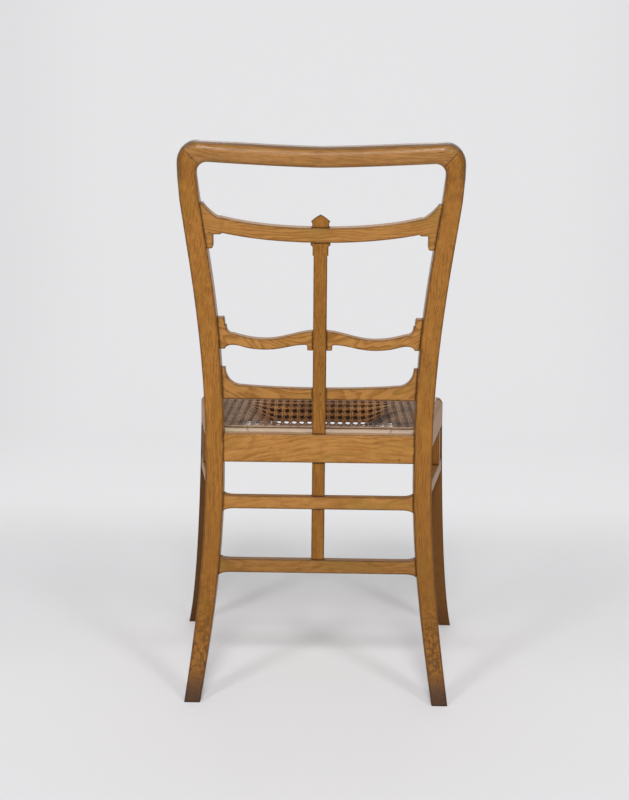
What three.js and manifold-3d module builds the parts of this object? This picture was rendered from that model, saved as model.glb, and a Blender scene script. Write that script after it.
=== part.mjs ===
// Shield back side chair in oak with a caned drop-in seat.
// Millimetres. X runs across the chair, +Y from its back to its front, +Z up, with the feet on Z = 0.
// While the pieces are shaped, Y = 0 is the rear face of the rear posts at the seat.

import * as THREE from 'three';
import { mergeVertices } from 'three/addons/utils/BufferGeometryUtils.js';
import Module from 'manifold-3d';

const wasm = await Module();
wasm.setup();

// Fits and cuts
const clearance = 0.3;
const overrun = 60;
const weldDistance = 0.0005;

// Seat
const seatRearHeight = 456;
const seatFrontRise = 11;
const seatDepth = 438;
const seatRailHeight = 49;
const sideRailThickness = 22;
const frontRailThickness = 22;
const rearRailThickness = 28;
const rearRailInset = 2;
const frontRailInset = 2;
const railTopRound = 8;
const rearRailTopRound = 4;
const railTenonThickness = 8;
const railTenonHeight = 23;
const railTenonRise = 5;
const railTenonLength = 15;

// Rear posts
const backHeight = 481;
const postDepth = 34;
const postTopDepth = 23;
const postFootDepth = 24;
const postWidth = 31;
const postShoulderWidth = 31.5;
const postFootWidth = 27;
const postRound = 2;
const waistHalfWidth = 193;
const shoulderHalfWidth = 232;
const footHalfWidth = 224;
const cornerRound = 34;
const innerCornerRound = 17;
const shoulderDrop = 55;
const waistBelowSeat = 26;
const flareBelowSeat = 70;
const backLean = 88;
const leanAboveSeat = 14;
const footRake = 52;
const rakeBelowSeat = 206;
const leanPower = 1.7;
const rakePower = 1.8;
const outerRiseShares = [0.467, 0.889];
const innerRiseShares = [0.556, 0.889];
const outerFlareShare = 0.62;
const innerFlareShare = 0.6;

// Crest rail
const crestHeight = 32.6;
const crestTopDip = 8.5;
const crestUnderDip = 7.5;
const crestDipPower = 1.35;
const crestRound = 7;
const dowelRadius = 4;
const dowelLength = 30;
const dowelSpacing = 13;

// Back rails, their heights taken at mid height above the seat
const upperRailBelowTop = 146.2;
const upperRailRise = backHeight - upperRailBelowTop;
const upperRailInset = 0;
const upperRailThickness = 16;
const middleRailShare = 0.469;
const middleRailRise = upperRailRise * middleRailShare;
const middleRailInset = 7;
const middleRailThickness = 16;
const lowerRailRise = 67.9;
const lowerRailInset = 7;
const lowerRailThickness = 16;
const backTenonThickness = 7;
const backTenonHeight = 15;
const backTenonLength = 14;

// Upper rail outline, heights from its mid height
const upperRailHalfHeight = 11.9;
const upperRailSweep = 163.4;
const upperRailSweepRise = 16.8;
const upperCoveStart = 167.8;
const upperCoveFoot = 28.6;
const upperCoveBend = 183.2;
const upperCoveBendRise = 38.2;
const upperCoveEnd = 192.2;
const upperBracketTop = 51.5;
const upperSweepHandleShare = 0.6;
const upperNotchHandleShare = 0.56;
const upperTenonShare = 0.9;
const upperNotchReach = 161;
const upperBracketReach = 176;
const upperBracketSoffit = 0.6;
const upperBracketDrop = 23.2;
const upperBracketRound = 5;
const bracketNotch = 2.4;

// Middle rail outline
const middleRailPeak = 19;
const middleRailDip = 4;
const middleRailTrough = 13.6;
const middleRailUnder = 4.7;
const middleDipReach = 91;
const middleSweepReach = 146;
const middleSweepRise = 12.8;
const middleSweepUnder = 6;
const middleBracketReach = 157;
const middleBracketTop = 40.5;
const middleBracketStep = 27;
const middleEndDrop = 12.8;
const middleBossHalfWidth = 21;
const middleBossDrop = 14.2;
const middlePeakHandleShare = 0.38;
const middleDipHandleShares = [0.65, 1.28];
const middleSweepHandleShare = 0.9;
const middleSweepRiseShare = 0.7;
const middleBossHandleShare = 0.52;
const middleTroughHandleShares = [0.7, 1.4];

// Lower rail outline
const lowerRailHalfHeight = 9.3;
const lowerSweepReach = 132;
const lowerSweepRise = 4.6;
const lowerBracketReach = 159.5;
const lowerBracketTop = 44.5;
const lowerSweepHandleShare = 0.6;
const lowerCoveHandleShare = 0.42;

// Centre post
const centrePostWidth = 22.5;
const centrePostDepth = 16;
const centrePostInset = 3;
const capitalWidth = 32.4;
const capitalBandDrop = 4.5;
const capitalNeckWidth = 26;
const capitalNeckDrop = 8.4;
const capitalDrop = 21;
const finialBaseWidth = 33;
const finialNeckWidth = 27.4;
const finialEaveWidth = 31.2;
const finialNeckRise = 8.2;
const finialEaveRise = 12;
const finialHeight = 22.8;
const finialCrownShare = 0.85;
const postTenonLength = 14;
const postTenonWidth = 15;
const postTenonThickness = 6;

// Rear stretchers and the short post between them and the seat
const stretcherThickness = 18;
const stretcherInset = 4;
const upperStretcherShare = 0.7384;
const upperStretcherHeight = seatRearHeight * upperStretcherShare;
const upperStretcherHalfHeight = 10.9;
const lowerStretcherShare = 0.4943;
const lowerStretcherHeight = seatRearHeight * lowerStretcherShare;
const lowerStretcherHalfHeight = 11.3;
const stretcherFlareLength = 20;
const stretcherFlareHeight = 5;
const stretcherHandleShare = 0.75;
const lowerPostWidth = 22;
const lowerPostDepth = 14;
const lowerPostInset = 6;

// Sides of the seat and of the base
const sideRearInset = 7;
const sideStretcherThickness = 18;
const sideStretcherInset = 1.5;
const slatWidth = 23;
const slatThickness = 13;
const slatPlaceShare = 0.83;

// Front legs
const legDepth = 34;
const legWidth = 33.5;
const legFootDepth = 24;
const legFootWidth = 23;
const legHalfWidth = 240.5;
const legFootHalfWidth = 267;
const legFootKick = 5;
const legTopRound = 8;
const legCurveStart = 300;
const legOuterBulge = 4.5;
const legInnerBulge = 14;
const legOuterFlareShare = 0.23;
const legInnerFlareShare = 0.27;

// Drop-in seat frame and its cane
const rabbetWidth = 10;
const frameThickness = 18;
const frameProud = 0.5;
const frameMemberWidth = 50;
const frameTenonLength = 16;
const frameTenonThickness = 6;
const frameTenonWidth = 24;
const caneMargin = 9;
const caneRearMargin = 34;
const caneThickness = 1.6;
const caneSag = 36;
const caneSagRun = 80;
const caneSagInset = 8;
const canePitch = 23;
const caneGap = 17;
const caneEdgeBand = 2;
const gapCornerShare = 0.3;
const binderWidth = 6;
const binderThickness = 1.4;
const caneCornerRound = 16;

// Corner blocks and screws
const blockLeg = 58;
const blockNose = 12;
const blockHeight = 24;
const screwShankRadius = 2;
const screwHeadRadius = 4;
const screwHeadHeight = 3;
const screwLength = 34;
const screwBite = 12;
const screwPlaceShare = 0.42;
const seatScrewInset = 22;

// Fineness of curves
const curveSteps = 14;
const leanSteps = 24;
const cornerSteps = 4;
const crestSteps = 7;
const roundSteps = 4;
const arrisSteps = 2;
const screwSides = 8;

// Colours
const postWood = new THREE.MeshStandardMaterial({ color: 0x966432, roughness: 0.35, metalness: 0 });
const railWood = new THREE.MeshStandardMaterial({ color: 0xb98743, roughness: 0.35, metalness: 0 });
const frameWood = new THREE.MeshStandardMaterial({ color: 0xa9793f, roughness: 0.45, metalness: 0 });
const rawWood = new THREE.MeshStandardMaterial({ color: 0xb08d5e, roughness: 0.8, metalness: 0 });
const caneFibre = new THREE.MeshStandardMaterial({ color: 0x8a7458, roughness: 0.6, metalness: 0 });
const screwSteel = new THREE.MeshStandardMaterial({ color: 0x8d8a84, roughness: 0.4, metalness: 1 });

// Places that several pieces share
const topHeight = seatRearHeight + backHeight;
const leanStart = seatRearHeight + leanAboveSeat;
const rakeStart = seatRearHeight - rakeBelowSeat;
const legBack = seatDepth - legDepth;
const seatSlope = Math.atan(seatFrontRise / seatDepth);
const frameBottom = frameProud - frameThickness;
const rabbetFloor = frameBottom - clearance;
const sideRear = waistHalfWidth - sideRearInset;
const sideRun = legBack - postDepth;
const sideAngle = Math.atan((legHalfWidth - sideRear) / sideRun);
const sideLength = Math.hypot(legHalfWidth - sideRear, sideRun);
const reach = topHeight;

// Solids

function toSolid(geometry) {
  const bare = geometry.clone();
  bare.deleteAttribute('normal');
  bare.deleteAttribute('uv');
  const welded = mergeVertices(bare, weldDistance);
  const mesh = new wasm.Mesh({
    numProp: 3,
    vertProperties: welded.attributes.position.array,
    triVerts: welded.index.array,
  });
  return new wasm.Manifold(mesh);
}

function toGeometry(solid) {
  const mesh = solid.getMesh();
  const geometry = new THREE.BufferGeometry();
  geometry.setAttribute('position', new THREE.BufferAttribute(mesh.vertProperties, 3));
  geometry.setIndex(new THREE.BufferAttribute(mesh.triVerts, 1));
  return geometry;
}

function mirrored(geometry) {
  const other = geometry.clone().scale(-1, 1, 1);
  const index = other.index.array;
  for (let i = 0; i < index.length; i += 3) {
    [index[i], index[i + 1]] = [index[i + 1], index[i]];
  }
  return other;
}

function joined(first, ...others) {
  return others.reduce((whole, other) => whole.add(other), first);
}

function without(solid, ...tools) {
  return tools.reduce((rest, tool) => rest.subtract(tool), solid);
}

// A box between two corners, grown on every side, and placed by a matrix
function block(low, high, place = new THREE.Matrix4(), grow = 0) {
  const size = low.map((value, i) => high[i] - value + 2 * grow);
  const middle = low.map((value, i) => (value + high[i]) / 2);
  const geometry = new THREE.BoxGeometry(...size).translate(...middle);
  return toSolid(geometry.applyMatrix4(place));
}

// A shape drawn across and up, given its thickness from Y = from to Y = to
function slab(shape, from, to, place = new THREE.Matrix4()) {
  const geometry = new THREE.ExtrudeGeometry(shape, {
    depth: to - from,
    bevelEnabled: false,
    curveSegments: curveSteps,
  });
  geometry.rotateX(Math.PI / 2).translate(0, to, 0);
  return toSolid(geometry.applyMatrix4(place));
}

// A shape drawn from back to front and up, run across the chair from X = from to X = to
function across(shape, from, to) {
  const geometry = new THREE.ExtrudeGeometry(shape, {
    depth: to - from,
    bevelEnabled: false,
    curveSegments: curveSteps,
  });
  const turn = new THREE.Matrix4().makeBasis(
    new THREE.Vector3(0, 1, 0),
    new THREE.Vector3(0, 0, 1),
    new THREE.Vector3(1, 0, 0),
  );
  return toSolid(geometry.applyMatrix4(turn).translate(from, 0, 0));
}

// A shape drawn in plan, given its height from Z = from to Z = to
function plate(shape, from, to, place = new THREE.Matrix4()) {
  const geometry = new THREE.ExtrudeGeometry(shape, {
    depth: to - from,
    bevelEnabled: false,
    curveSegments: roundSteps,
  });
  return toSolid(geometry.translate(0, 0, from).applyMatrix4(place));
}

function xAt(points, height) {
  for (let i = 1; i < points.length; i += 1) {
    const [a, b] = [points[i - 1], points[i]];
    if ((a.y - height) * (b.y - height) <= 0 && a.y !== b.y) {
      return a.x + ((b.x - a.x) * (height - a.y)) / (b.y - a.y);
    }
  }
  return points[points.length - 1].x;
}

// A closed outline from the upper and lower edges of its right half
function symmetric(upper, lower) {
  const over = upper.getPoints(curveSteps);
  const under = lower.getPoints(curveSteps);
  const flip = (point) => new THREE.Vector2(-point.x, point.y);
  return new THREE.Shape([
    ...over.slice(1).reverse().map(flip),
    ...over,
    ...[...under].reverse(),
    ...under.slice(1).map(flip),
  ]);
}

// The lean of the back and the rake of the rear feet

function backAt(height) {
  if (height > leanStart) {
    return -backLean * ((height - leanStart) / (topHeight - leanStart)) ** leanPower;
  }
  if (height < rakeStart) {
    return -footRake * ((rakeStart - height) / rakeStart) ** rakePower;
  }
  return 0;
}

function leanAt(height) {
  const share = Math.max(height - leanStart, 0) / (topHeight - leanStart);
  return Math.atan((backLean * leanPower * share ** (leanPower - 1)) / (topHeight - leanStart));
}

// The frame of a rail in the back: its rear face is Y = inset and its mid height Z = 0
function reclined(height, inset = 0) {
  return new THREE.Matrix4()
    .makeTranslation(0, backAt(height) + inset, height)
    .multiply(new THREE.Matrix4().makeRotationX(leanAt(height)));
}

function depthAt(height) {
  if (height > leanStart) {
    const share = (height - leanStart) / (topHeight - leanStart);
    return postDepth + (postTopDepth - postDepth) * share ** leanPower;
  }
  if (height < rakeStart) {
    return postDepth + (postFootDepth - postDepth) * ((rakeStart - height) / rakeStart) ** rakePower;
  }
  return postDepth;
}

// A rounded section of a piece of the back. Its inner and outer ends are seen from behind, and its depth
// is square to the lean of the back
function ring({ inner, outer }, arris) {
  const width = inner.distanceTo(outer);
  const height = (inner.y + outer.y) / 2;
  const lean = leanAt(height);
  const depth = depthAt(height);
  const round = arris(height);
  const corners = [
    [width - round, round],
    [width - round, depth - round],
    [round, depth - round],
    [round, round],
  ];
  return corners.flatMap(([along, deep], corner) => {
    const points = [];
    for (let i = 0; i <= arrisSteps; i += 1) {
      const turn = (Math.PI / 2) * (corner - 1 + i / arrisSteps);
      const spot = inner.clone().lerp(outer, (along + round * Math.cos(turn)) / width);
      const sunk = deep + round * Math.sin(turn);
      points.push([spot.x, backAt(spot.y) + sunk * Math.cos(lean), spot.y + sunk * Math.sin(lean)]);
    }
    return points;
  });
}

// A solid through such sections, with the rounding of its arrises by height
function loft(sections, arris = roundAt) {
  const rings = sections.map((section) => ring(section, arris));
  const count = rings[0].length;
  const last = (rings.length - 1) * count;
  const index = [];
  for (let start = 0; start < last; start += count) {
    for (let i = 0; i < count; i += 1) {
      const [a, b] = [start + i, start + ((i + 1) % count)];
      index.push(a, b, b + count, a, b + count, a + count);
    }
  }
  for (let i = 2; i < count; i += 1) {
    index.push(0, i, i - 1, last, last + i - 1, last + i);
  }
  const geometry = new THREE.BufferGeometry();
  geometry.setAttribute('position', new THREE.Float32BufferAttribute(rings.flat(2), 3));
  geometry.setIndex(index);
  return toSolid(geometry);
}

// The curved band between two faces that follow the back, across the whole chair
function backBand(rear, front, lowest, highest) {
  const heights = [];
  for (let i = 0; i <= leanSteps; i += 1) {
    heights.push(lowest + ((highest - lowest) * i) / leanSteps);
  }
  const behind = heights.map((height) => new THREE.Vector2(rear(height), height));
  const ahead = heights.map((height) => new THREE.Vector2(front(height), height));
  return across(new THREE.Shape([...ahead, ...behind.reverse()]), -reach, reach);
}

// Rear posts

const shoulderHeight = topHeight - shoulderDrop;
const waistHeight = seatRearHeight - waistBelowSeat;
const flareStart = seatRearHeight - flareBelowSeat;
const innerWaist = waistHalfWidth - postWidth;
const innerShoulder = shoulderHalfWidth - postShoulderWidth;
const innerFoot = footHalfWidth - postFootWidth;

function riseHeights(shares) {
  return shares.map((share) => waistHeight + share * (shoulderHeight - waistHeight));
}

const innerEdge = new THREE.Path();
innerEdge.moveTo(innerFoot, 0);
innerEdge.quadraticCurveTo(innerWaist, flareStart * innerFlareShare, innerWaist, flareStart);
innerEdge.lineTo(innerWaist, waistHeight);
const innerHandles = riseHeights(innerRiseShares);
innerEdge.bezierCurveTo(
  innerWaist, innerHandles[0], innerShoulder, innerHandles[1], innerShoulder, shoulderHeight,
);

const outerEdge = new THREE.Path();
outerEdge.moveTo(footHalfWidth, 0);
outerEdge.quadraticCurveTo(waistHalfWidth, flareStart * outerFlareShare, waistHalfWidth, flareStart);
outerEdge.lineTo(waistHalfWidth, waistHeight);
const outerHandles = riseHeights(outerRiseShares);
outerEdge.bezierCurveTo(
  waistHalfWidth, outerHandles[0], shoulderHalfWidth, outerHandles[1], shoulderHalfWidth, shoulderHeight,
);

const innerPoints = innerEdge.getPoints(curveSteps);
const outerPoints = outerEdge.getPoints(curveSteps);

// The head of the post turns through two arcs to its mitre with the crest
const crestUnder = topHeight - crestHeight;
const cornerMiddle = new THREE.Vector2(shoulderHalfWidth - cornerRound, topHeight - cornerRound);
const innerMiddle = new THREE.Vector2(innerShoulder - innerCornerRound, crestUnder - innerCornerRound);
const mitreTurn = Math.PI / 4;

function aroundCorner(turn) {
  const way = new THREE.Vector2(Math.cos(turn), Math.sin(turn));
  return {
    inner: innerMiddle.clone().addScaledVector(way, innerCornerRound),
    outer: cornerMiddle.clone().addScaledVector(way, cornerRound),
  };
}

// The arrises of the post are nearly square up to the upper rail and open out above it
const roundStart = seatRearHeight + upperRailRise + upperBracketTop;

function roundAt(height) {
  return THREE.MathUtils.mapLinear(
    THREE.MathUtils.smoothstep(height, roundStart, shoulderHeight), 0, 1, postRound, crestRound,
  );
}

function postBlank(arris) {
  const sections = [];
  for (let i = 0; i <= leanSteps; i += 1) {
    const height = (shoulderHeight * i) / leanSteps;
    sections.push({
      inner: new THREE.Vector2(xAt(innerPoints, height), height),
      outer: new THREE.Vector2(xAt(outerPoints, height), height),
    });
  }
  for (let i = 0; i <= cornerSteps; i += 1) {
    sections.push(aroundCorner((mitreTurn * i) / cornerSteps));
  }
  return loft(sections, arris);
}

// What a piece between the posts may not enter is cut square, so that its end meets the post's whole face
const postBody = postBlank();
const postKeepOut = toSolid(toGeometry(postBlank(() => clearance)).translate(-clearance, 0, 0));

function betweenPosts(solid) {
  return without(solid, postKeepOut, toSolid(mirrored(toGeometry(postKeepOut))));
}

function innerEdgeAt(height) {
  return xAt(innerPoints, height);
}

// A tenon on the right end of a rail between the posts, in the rail's own frame
function postTenon(rail, grow = 0) {
  const shoulder = innerEdgeAt(rail.height + rail.tenonMid);
  const rear = (rail.thickness - rail.tenonThickness) * rail.tenonSetShare;
  return block(
    [shoulder - rail.tenonThickness, rear, rail.tenonMid - rail.tenonHeight / 2],
    [shoulder + rail.tenonLength, rear + rail.tenonThickness, rail.tenonMid + rail.tenonHeight / 2],
    reclined(rail.height, rail.inset),
    grow,
  );
}

function twoSided(solid) {
  return solid.add(toSolid(mirrored(toGeometry(solid))));
}

// Rails of the back

function upperRailOutline() {
  const far = innerEdgeAt(seatRearHeight + upperRailRise) + postWidth / 2;
  const over = new THREE.Path();
  const sweepTop = upperRailHalfHeight + upperRailSweepRise;
  over.moveTo(0, upperRailHalfHeight);
  const handle = upperRailSweep * upperSweepHandleShare;
  over.quadraticCurveTo(handle, upperRailHalfHeight, upperRailSweep, sweepTop);
  over.lineTo(upperRailSweep, upperCoveFoot);
  over.lineTo(upperCoveStart, upperCoveFoot);
  over.quadraticCurveTo(upperCoveBend, upperCoveBendRise, upperCoveEnd, upperBracketTop);
  over.lineTo(far, upperBracketTop);
  const under = new THREE.Path();
  const notch = upperBracketSoffit + bracketNotch;
  const corner = upperBracketRound / 2;
  under.moveTo(0, -upperRailHalfHeight);
  const underHandle = upperNotchReach * upperNotchHandleShare;
  under.quadraticCurveTo(underHandle, -upperRailHalfHeight, upperNotchReach, notch);
  under.lineTo(upperNotchReach + bracketNotch, upperBracketSoffit);
  under.lineTo(upperBracketReach - corner, upperBracketSoffit);
  under.quadraticCurveTo(
    upperBracketReach, upperBracketSoffit, upperBracketReach, upperBracketSoffit - corner,
  );
  under.lineTo(upperBracketReach, upperBracketRound - upperBracketDrop);
  under.quadraticCurveTo(
    upperBracketReach, -upperBracketDrop, upperBracketReach + upperBracketRound, -upperBracketDrop,
  );
  under.lineTo(far, -upperBracketDrop);
  return symmetric(over, under);
}

function middleRailOutline() {
  const far = innerEdgeAt(seatRearHeight + middleRailRise) + postWidth / 2;
  const over = new THREE.Path();
  over.moveTo(0, middleRailPeak);
  over.bezierCurveTo(
    middleDipReach * middlePeakHandleShare, middleRailPeak,
    middleDipReach * middleDipHandleShares[0], middleRailDip,
    middleDipReach, middleRailDip,
  );
  over.bezierCurveTo(
    middleDipReach * middleDipHandleShares[1], middleRailDip,
    middleSweepReach * middleSweepHandleShare, middleSweepRise * middleSweepRiseShare,
    middleSweepReach, middleSweepRise,
  );
  over.quadraticCurveTo(middleBracketReach, middleSweepRise, middleBracketReach, middleBracketStep);
  over.lineTo(middleBracketReach + bracketNotch, middleBracketStep);
  const crown = middleBracketReach + upperBracketRound;
  over.quadraticCurveTo(middleBracketReach + bracketNotch, middleBracketTop, crown, middleBracketTop);
  over.lineTo(far, middleBracketTop);
  const under = new THREE.Path();
  const fillet = middleBossHalfWidth + bracketNotch * 2;
  under.moveTo(0, -middleBossDrop);
  under.lineTo(middleBossHalfWidth - bracketNotch, -middleBossDrop);
  under.quadraticCurveTo(
    middleBossHalfWidth, -middleBossDrop, middleBossHalfWidth, bracketNotch - middleBossDrop,
  );
  under.lineTo(middleBossHalfWidth, -middleRailUnder - bracketNotch);
  under.quadraticCurveTo(middleBossHalfWidth, -middleRailUnder, fillet, -middleRailUnder);
  under.bezierCurveTo(
    middleDipReach * middleBossHandleShare, -middleRailUnder,
    middleDipReach * middleTroughHandleShares[0], -middleRailTrough,
    middleDipReach, -middleRailTrough,
  );
  under.bezierCurveTo(
    middleDipReach * middleTroughHandleShares[1], -middleRailTrough,
    middleSweepReach * middleSweepHandleShare, -middleSweepUnder,
    middleSweepReach, -middleSweepUnder,
  );
  const heel = middleBracketReach + bracketNotch;
  under.quadraticCurveTo(middleBracketReach, -middleSweepUnder, heel, -middleEndDrop);
  under.lineTo(far, -middleEndDrop);
  return symmetric(over, under);
}

function lowerRailOutline() {
  const far = innerEdgeAt(seatRearHeight + lowerRailRise) + postWidth / 2;
  const over = new THREE.Path();
  const sweepTop = lowerRailHalfHeight + lowerSweepRise;
  const handle = lowerSweepReach * lowerSweepHandleShare;
  over.moveTo(0, lowerRailHalfHeight);
  over.quadraticCurveTo(handle, lowerRailHalfHeight, lowerSweepReach, sweepTop);
  over.bezierCurveTo(
    lowerBracketReach - (lowerBracketReach - lowerSweepReach) * lowerCoveHandleShare, sweepTop,
    lowerBracketReach, sweepTop + (lowerBracketTop - sweepTop) * lowerCoveHandleShare,
    lowerBracketReach, lowerBracketTop,
  );
  over.lineTo(far, lowerBracketTop);
  const under = new THREE.Path();
  under.moveTo(0, -lowerRailHalfHeight);
  under.lineTo(far, -lowerRailHalfHeight);
  return symmetric(over, under);
}

const backRails = [
  {
    name: 'upper_back_rail',
    outline: upperRailOutline(),
    height: seatRearHeight + upperRailRise,
    inset: upperRailInset,
    thickness: upperRailThickness,
    over: upperRailHalfHeight,
    under: upperRailHalfHeight,
    tenonMid: (upperBracketTop - upperBracketDrop) / 2,
    tenonHeight: upperBracketTop * upperTenonShare,
    outside: true,
  },
  {
    name: 'middle_back_rail',
    outline: middleRailOutline(),
    height: seatRearHeight + middleRailRise,
    inset: middleRailInset,
    thickness: middleRailThickness,
    over: middleRailPeak,
    under: middleBossDrop,
    tenonMid: middleSweepRise / 2,
    tenonHeight: backTenonHeight,
    outside: false,
  },
  {
    name: 'lower_back_rail',
    outline: lowerRailOutline(),
    height: seatRearHeight + lowerRailRise,
    inset: lowerRailInset,
    thickness: lowerRailThickness,
    over: lowerRailHalfHeight,
    under: lowerRailHalfHeight,
    tenonMid: lowerSweepRise,
    tenonHeight: backTenonHeight,
    outside: false,
  },
].map((rail) => ({
  ...rail,
  tenonLength: backTenonLength,
  tenonThickness: backTenonThickness,
  tenonSetShare: 0.5,
}));

// Where a back rail and the centre post pass through each other, both are halved
function lapDepth(rail) {
  const rear = Math.max(rail.inset, centrePostInset);
  const front = Math.min(rail.inset + rail.thickness, centrePostInset + centrePostDepth);
  return (rear + front) / 2 - rail.inset;
}

function notchInRail(rail) {
  const side = centrePostWidth / 2 + clearance;
  const lap = lapDepth(rail);
  const [rear, front] = rail.outside
    ? [lap - clearance / 2, rail.thickness + overrun]
    : [-overrun, lap + clearance / 2];
  return block([-side, rear, -reach], [side, front, reach], reclined(rail.height, rail.inset));
}

function notchesInPost(rail) {
  const low = -rail.under - clearance;
  const high = rail.over + clearance;
  const lap = lapDepth(rail);
  const place = reclined(rail.height, rail.inset);
  const [rear, front] = rail.outside
    ? [-overrun, lap + clearance / 2]
    : [lap - clearance / 2, overrun];
  const halving = block([-overrun, rear, low], [overrun, front, high], place);
  const cheek = block([centrePostWidth / 2, -overrun, low], [overrun, overrun, high], place);
  return halving.add(twoSided(cheek));
}

function backRail(rail) {
  const body = slab(rail.outline, 0, rail.thickness, reclined(rail.height, rail.inset));
  return without(joined(betweenPosts(body), twoSided(postTenon(rail))), notchInRail(rail));
}

// Crest rail, mitred to the heads of the posts

const mitre = aroundCorner(mitreTurn);
const mitreMiddle = mitre.inner.clone().lerp(mitre.outer, 0.5);
const mitreLean = leanAt(mitreMiddle.y);

// The frame of a mitre: its origin is in the middle of it, X runs out along it and Y is its depth
function mitrePlace() {
  const along = new THREE.Vector3(
    mitre.outer.x - mitre.inner.x,
    backAt(mitre.outer.y) - backAt(mitre.inner.y),
    mitre.outer.y - mitre.inner.y,
  ).normalize();
  const deep = new THREE.Vector3(0, Math.cos(mitreLean), Math.sin(mitreLean));
  const square = new THREE.Vector3().crossVectors(along, deep).normalize();
  return new THREE.Matrix4()
    .makeBasis(along, deep, square)
    .setPosition(mitreMiddle.x, backAt(mitreMiddle.y), mitreMiddle.y);
}

function crestRail() {
  const half = [];
  const turnStep = (Math.PI / 2 - mitreTurn) / cornerSteps;
  for (let i = -1; i <= cornerSteps; i += 1) {
    half.push(aroundCorner(mitreTurn + turnStep * i));
  }
  for (let i = 1; i <= crestSteps; i += 1) {
    const share = 1 - i / crestSteps;
    const sag = 1 - share ** crestDipPower;
    half.push({
      inner: new THREE.Vector2(innerMiddle.x * share, crestUnder - crestUnderDip * sag),
      outer: new THREE.Vector2(cornerMiddle.x * share, topHeight - crestTopDip * sag),
    });
  }
  const flip = (point) => new THREE.Vector2(-point.x, point.y);
  const other = half.slice(0, -1).reverse().map(({ inner, outer }) => (
    { inner: flip(inner), outer: flip(outer) }
  ));
  const whole = loft([...half, ...other]);
  const beyond = block([-overrun, -overrun, -overrun], [overrun, overrun, clearance], mitrePlace());
  return without(whole, twoSided(beyond));
}

// Two dowels across each mitre
function crestDowel(place, grow = 0) {
  const rod = new THREE.CylinderGeometry(
    dowelRadius + grow, dowelRadius + grow, dowelLength + 2 * grow, screwSides,
  );
  rod.rotateX(Math.PI / 2);
  rod.translate(place * dowelSpacing, postTopDepth / 2, 0);
  return toSolid(rod.applyMatrix4(mitrePlace()));
}

const dowelPlaceShares = { inner: -0.5, outer: 0.5 };

// Centre post

const upperRail = backRails[0];
const railUnder = upperRail.height - upperRailHalfHeight * Math.cos(leanAt(upperRail.height));
const railOver = upperRail.height + upperRailHalfHeight * Math.cos(leanAt(upperRail.height));

function centrePostOutline() {
  const over = new THREE.Path();
  const half = centrePostWidth / 2;
  const neck = railOver + finialNeckRise;
  const eave = railOver + finialEaveRise;
  over.moveTo(half, seatRearHeight + clearance);
  over.lineTo(half, railUnder - capitalDrop);
  over.lineTo(capitalNeckWidth / 2, railUnder - capitalDrop);
  over.lineTo(capitalNeckWidth / 2, railUnder - capitalNeckDrop);
  over.quadraticCurveTo(
    capitalNeckWidth / 2, railUnder - capitalBandDrop, capitalWidth / 2, railUnder - capitalBandDrop,
  );
  over.lineTo(capitalWidth / 2, upperRail.height);
  over.lineTo(finialBaseWidth / 2, upperRail.height);
  over.lineTo(finialBaseWidth / 2, railOver + clearance);
  over.quadraticCurveTo(finialNeckWidth / 2, railOver + clearance, finialNeckWidth / 2, neck);
  over.lineTo(finialEaveWidth / 2, eave);
  const crown = railOver + finialHeight * finialCrownShare;
  over.quadraticCurveTo(finialEaveWidth / 4, crown, 0, railOver + finialHeight);
  const points = over.getPoints(roundSteps);
  const other = points.slice(0, -1).reverse().map((point) => new THREE.Vector2(-point.x, point.y));
  return new THREE.Shape([...points, ...other]);
}

function centreTenon(grow = 0) {
  const middle = centrePostInset + centrePostDepth / 2;
  return block(
    [-postTenonWidth / 2, middle - postTenonThickness / 2, seatRearHeight - postTenonLength],
    [postTenonWidth / 2, middle + postTenonThickness / 2, seatRearHeight + postTenonLength],
    new THREE.Matrix4(),
    grow,
  );
}

function centrePost() {
  const band = backBand(
    (height) => backAt(height) + centrePostInset,
    (height) => backAt(height) + centrePostInset + centrePostDepth,
    seatRearHeight - overrun,
    topHeight,
  );
  const body = slab(centrePostOutline(), -reach, reach).intersect(band);
  return joined(without(body, ...backRails.map(notchesInPost)), centreTenon());
}

// Seat rails, in the frame of the sloping seat: Z = 0 is its top, Y = 0 the rear face of the posts

const seatPlace = new THREE.Matrix4()
  .makeTranslation(0, 0, seatRearHeight)
  .multiply(new THREE.Matrix4().makeRotationX(seatSlope));

// Section of a seat rail, from its outer face inwards, with the rabbet for the seat frame
function railSection(thickness, rounding) {
  const section = new THREE.Shape();
  section.moveTo(0, -seatRailHeight);
  section.lineTo(thickness, -seatRailHeight);
  section.lineTo(thickness, rabbetFloor);
  section.lineTo(thickness - rabbetWidth, rabbetFloor);
  section.lineTo(thickness - rabbetWidth, 0);
  section.lineTo(rounding, 0);
  section.absarc(rounding, -rounding, rounding, Math.PI / 2, Math.PI);
  return section;
}

function railRun(section, length, inwards, along, place) {
  const geometry = new THREE.ExtrudeGeometry(section, {
    depth: length,
    bevelEnabled: false,
    curveSegments: roundSteps,
  });
  const basis = new THREE.Matrix4().makeBasis(inwards, new THREE.Vector3(0, 0, 1), along);
  geometry.translate(0, 0, -length / 2).applyMatrix4(basis);
  return toSolid(geometry.applyMatrix4(place));
}

// The frame of the right side of the seat: Y = 0 is where its outer face meets the rear post
function sidePlace(height, rear = sideRear, angle = sideAngle) {
  return new THREE.Matrix4()
    .makeTranslation(rear, postDepth, height)
    .multiply(new THREE.Matrix4().makeRotationZ(-angle));
}

const tenonLow = railTenonRise - seatRailHeight;
const tenonHigh = tenonLow + railTenonHeight;

function sideRailPlace() {
  return seatPlace.clone().multiply(sidePlace(0));
}

function sideTenon(end, grow = 0) {
  const at = end * sideLength;
  const inner = -(sideRailThickness - railTenonThickness) / 2;
  return block(
    [inner - railTenonThickness, at - railTenonLength, tenonLow],
    [inner, at + railTenonLength, tenonHigh],
    sideRailPlace(),
    grow,
  );
}

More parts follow.
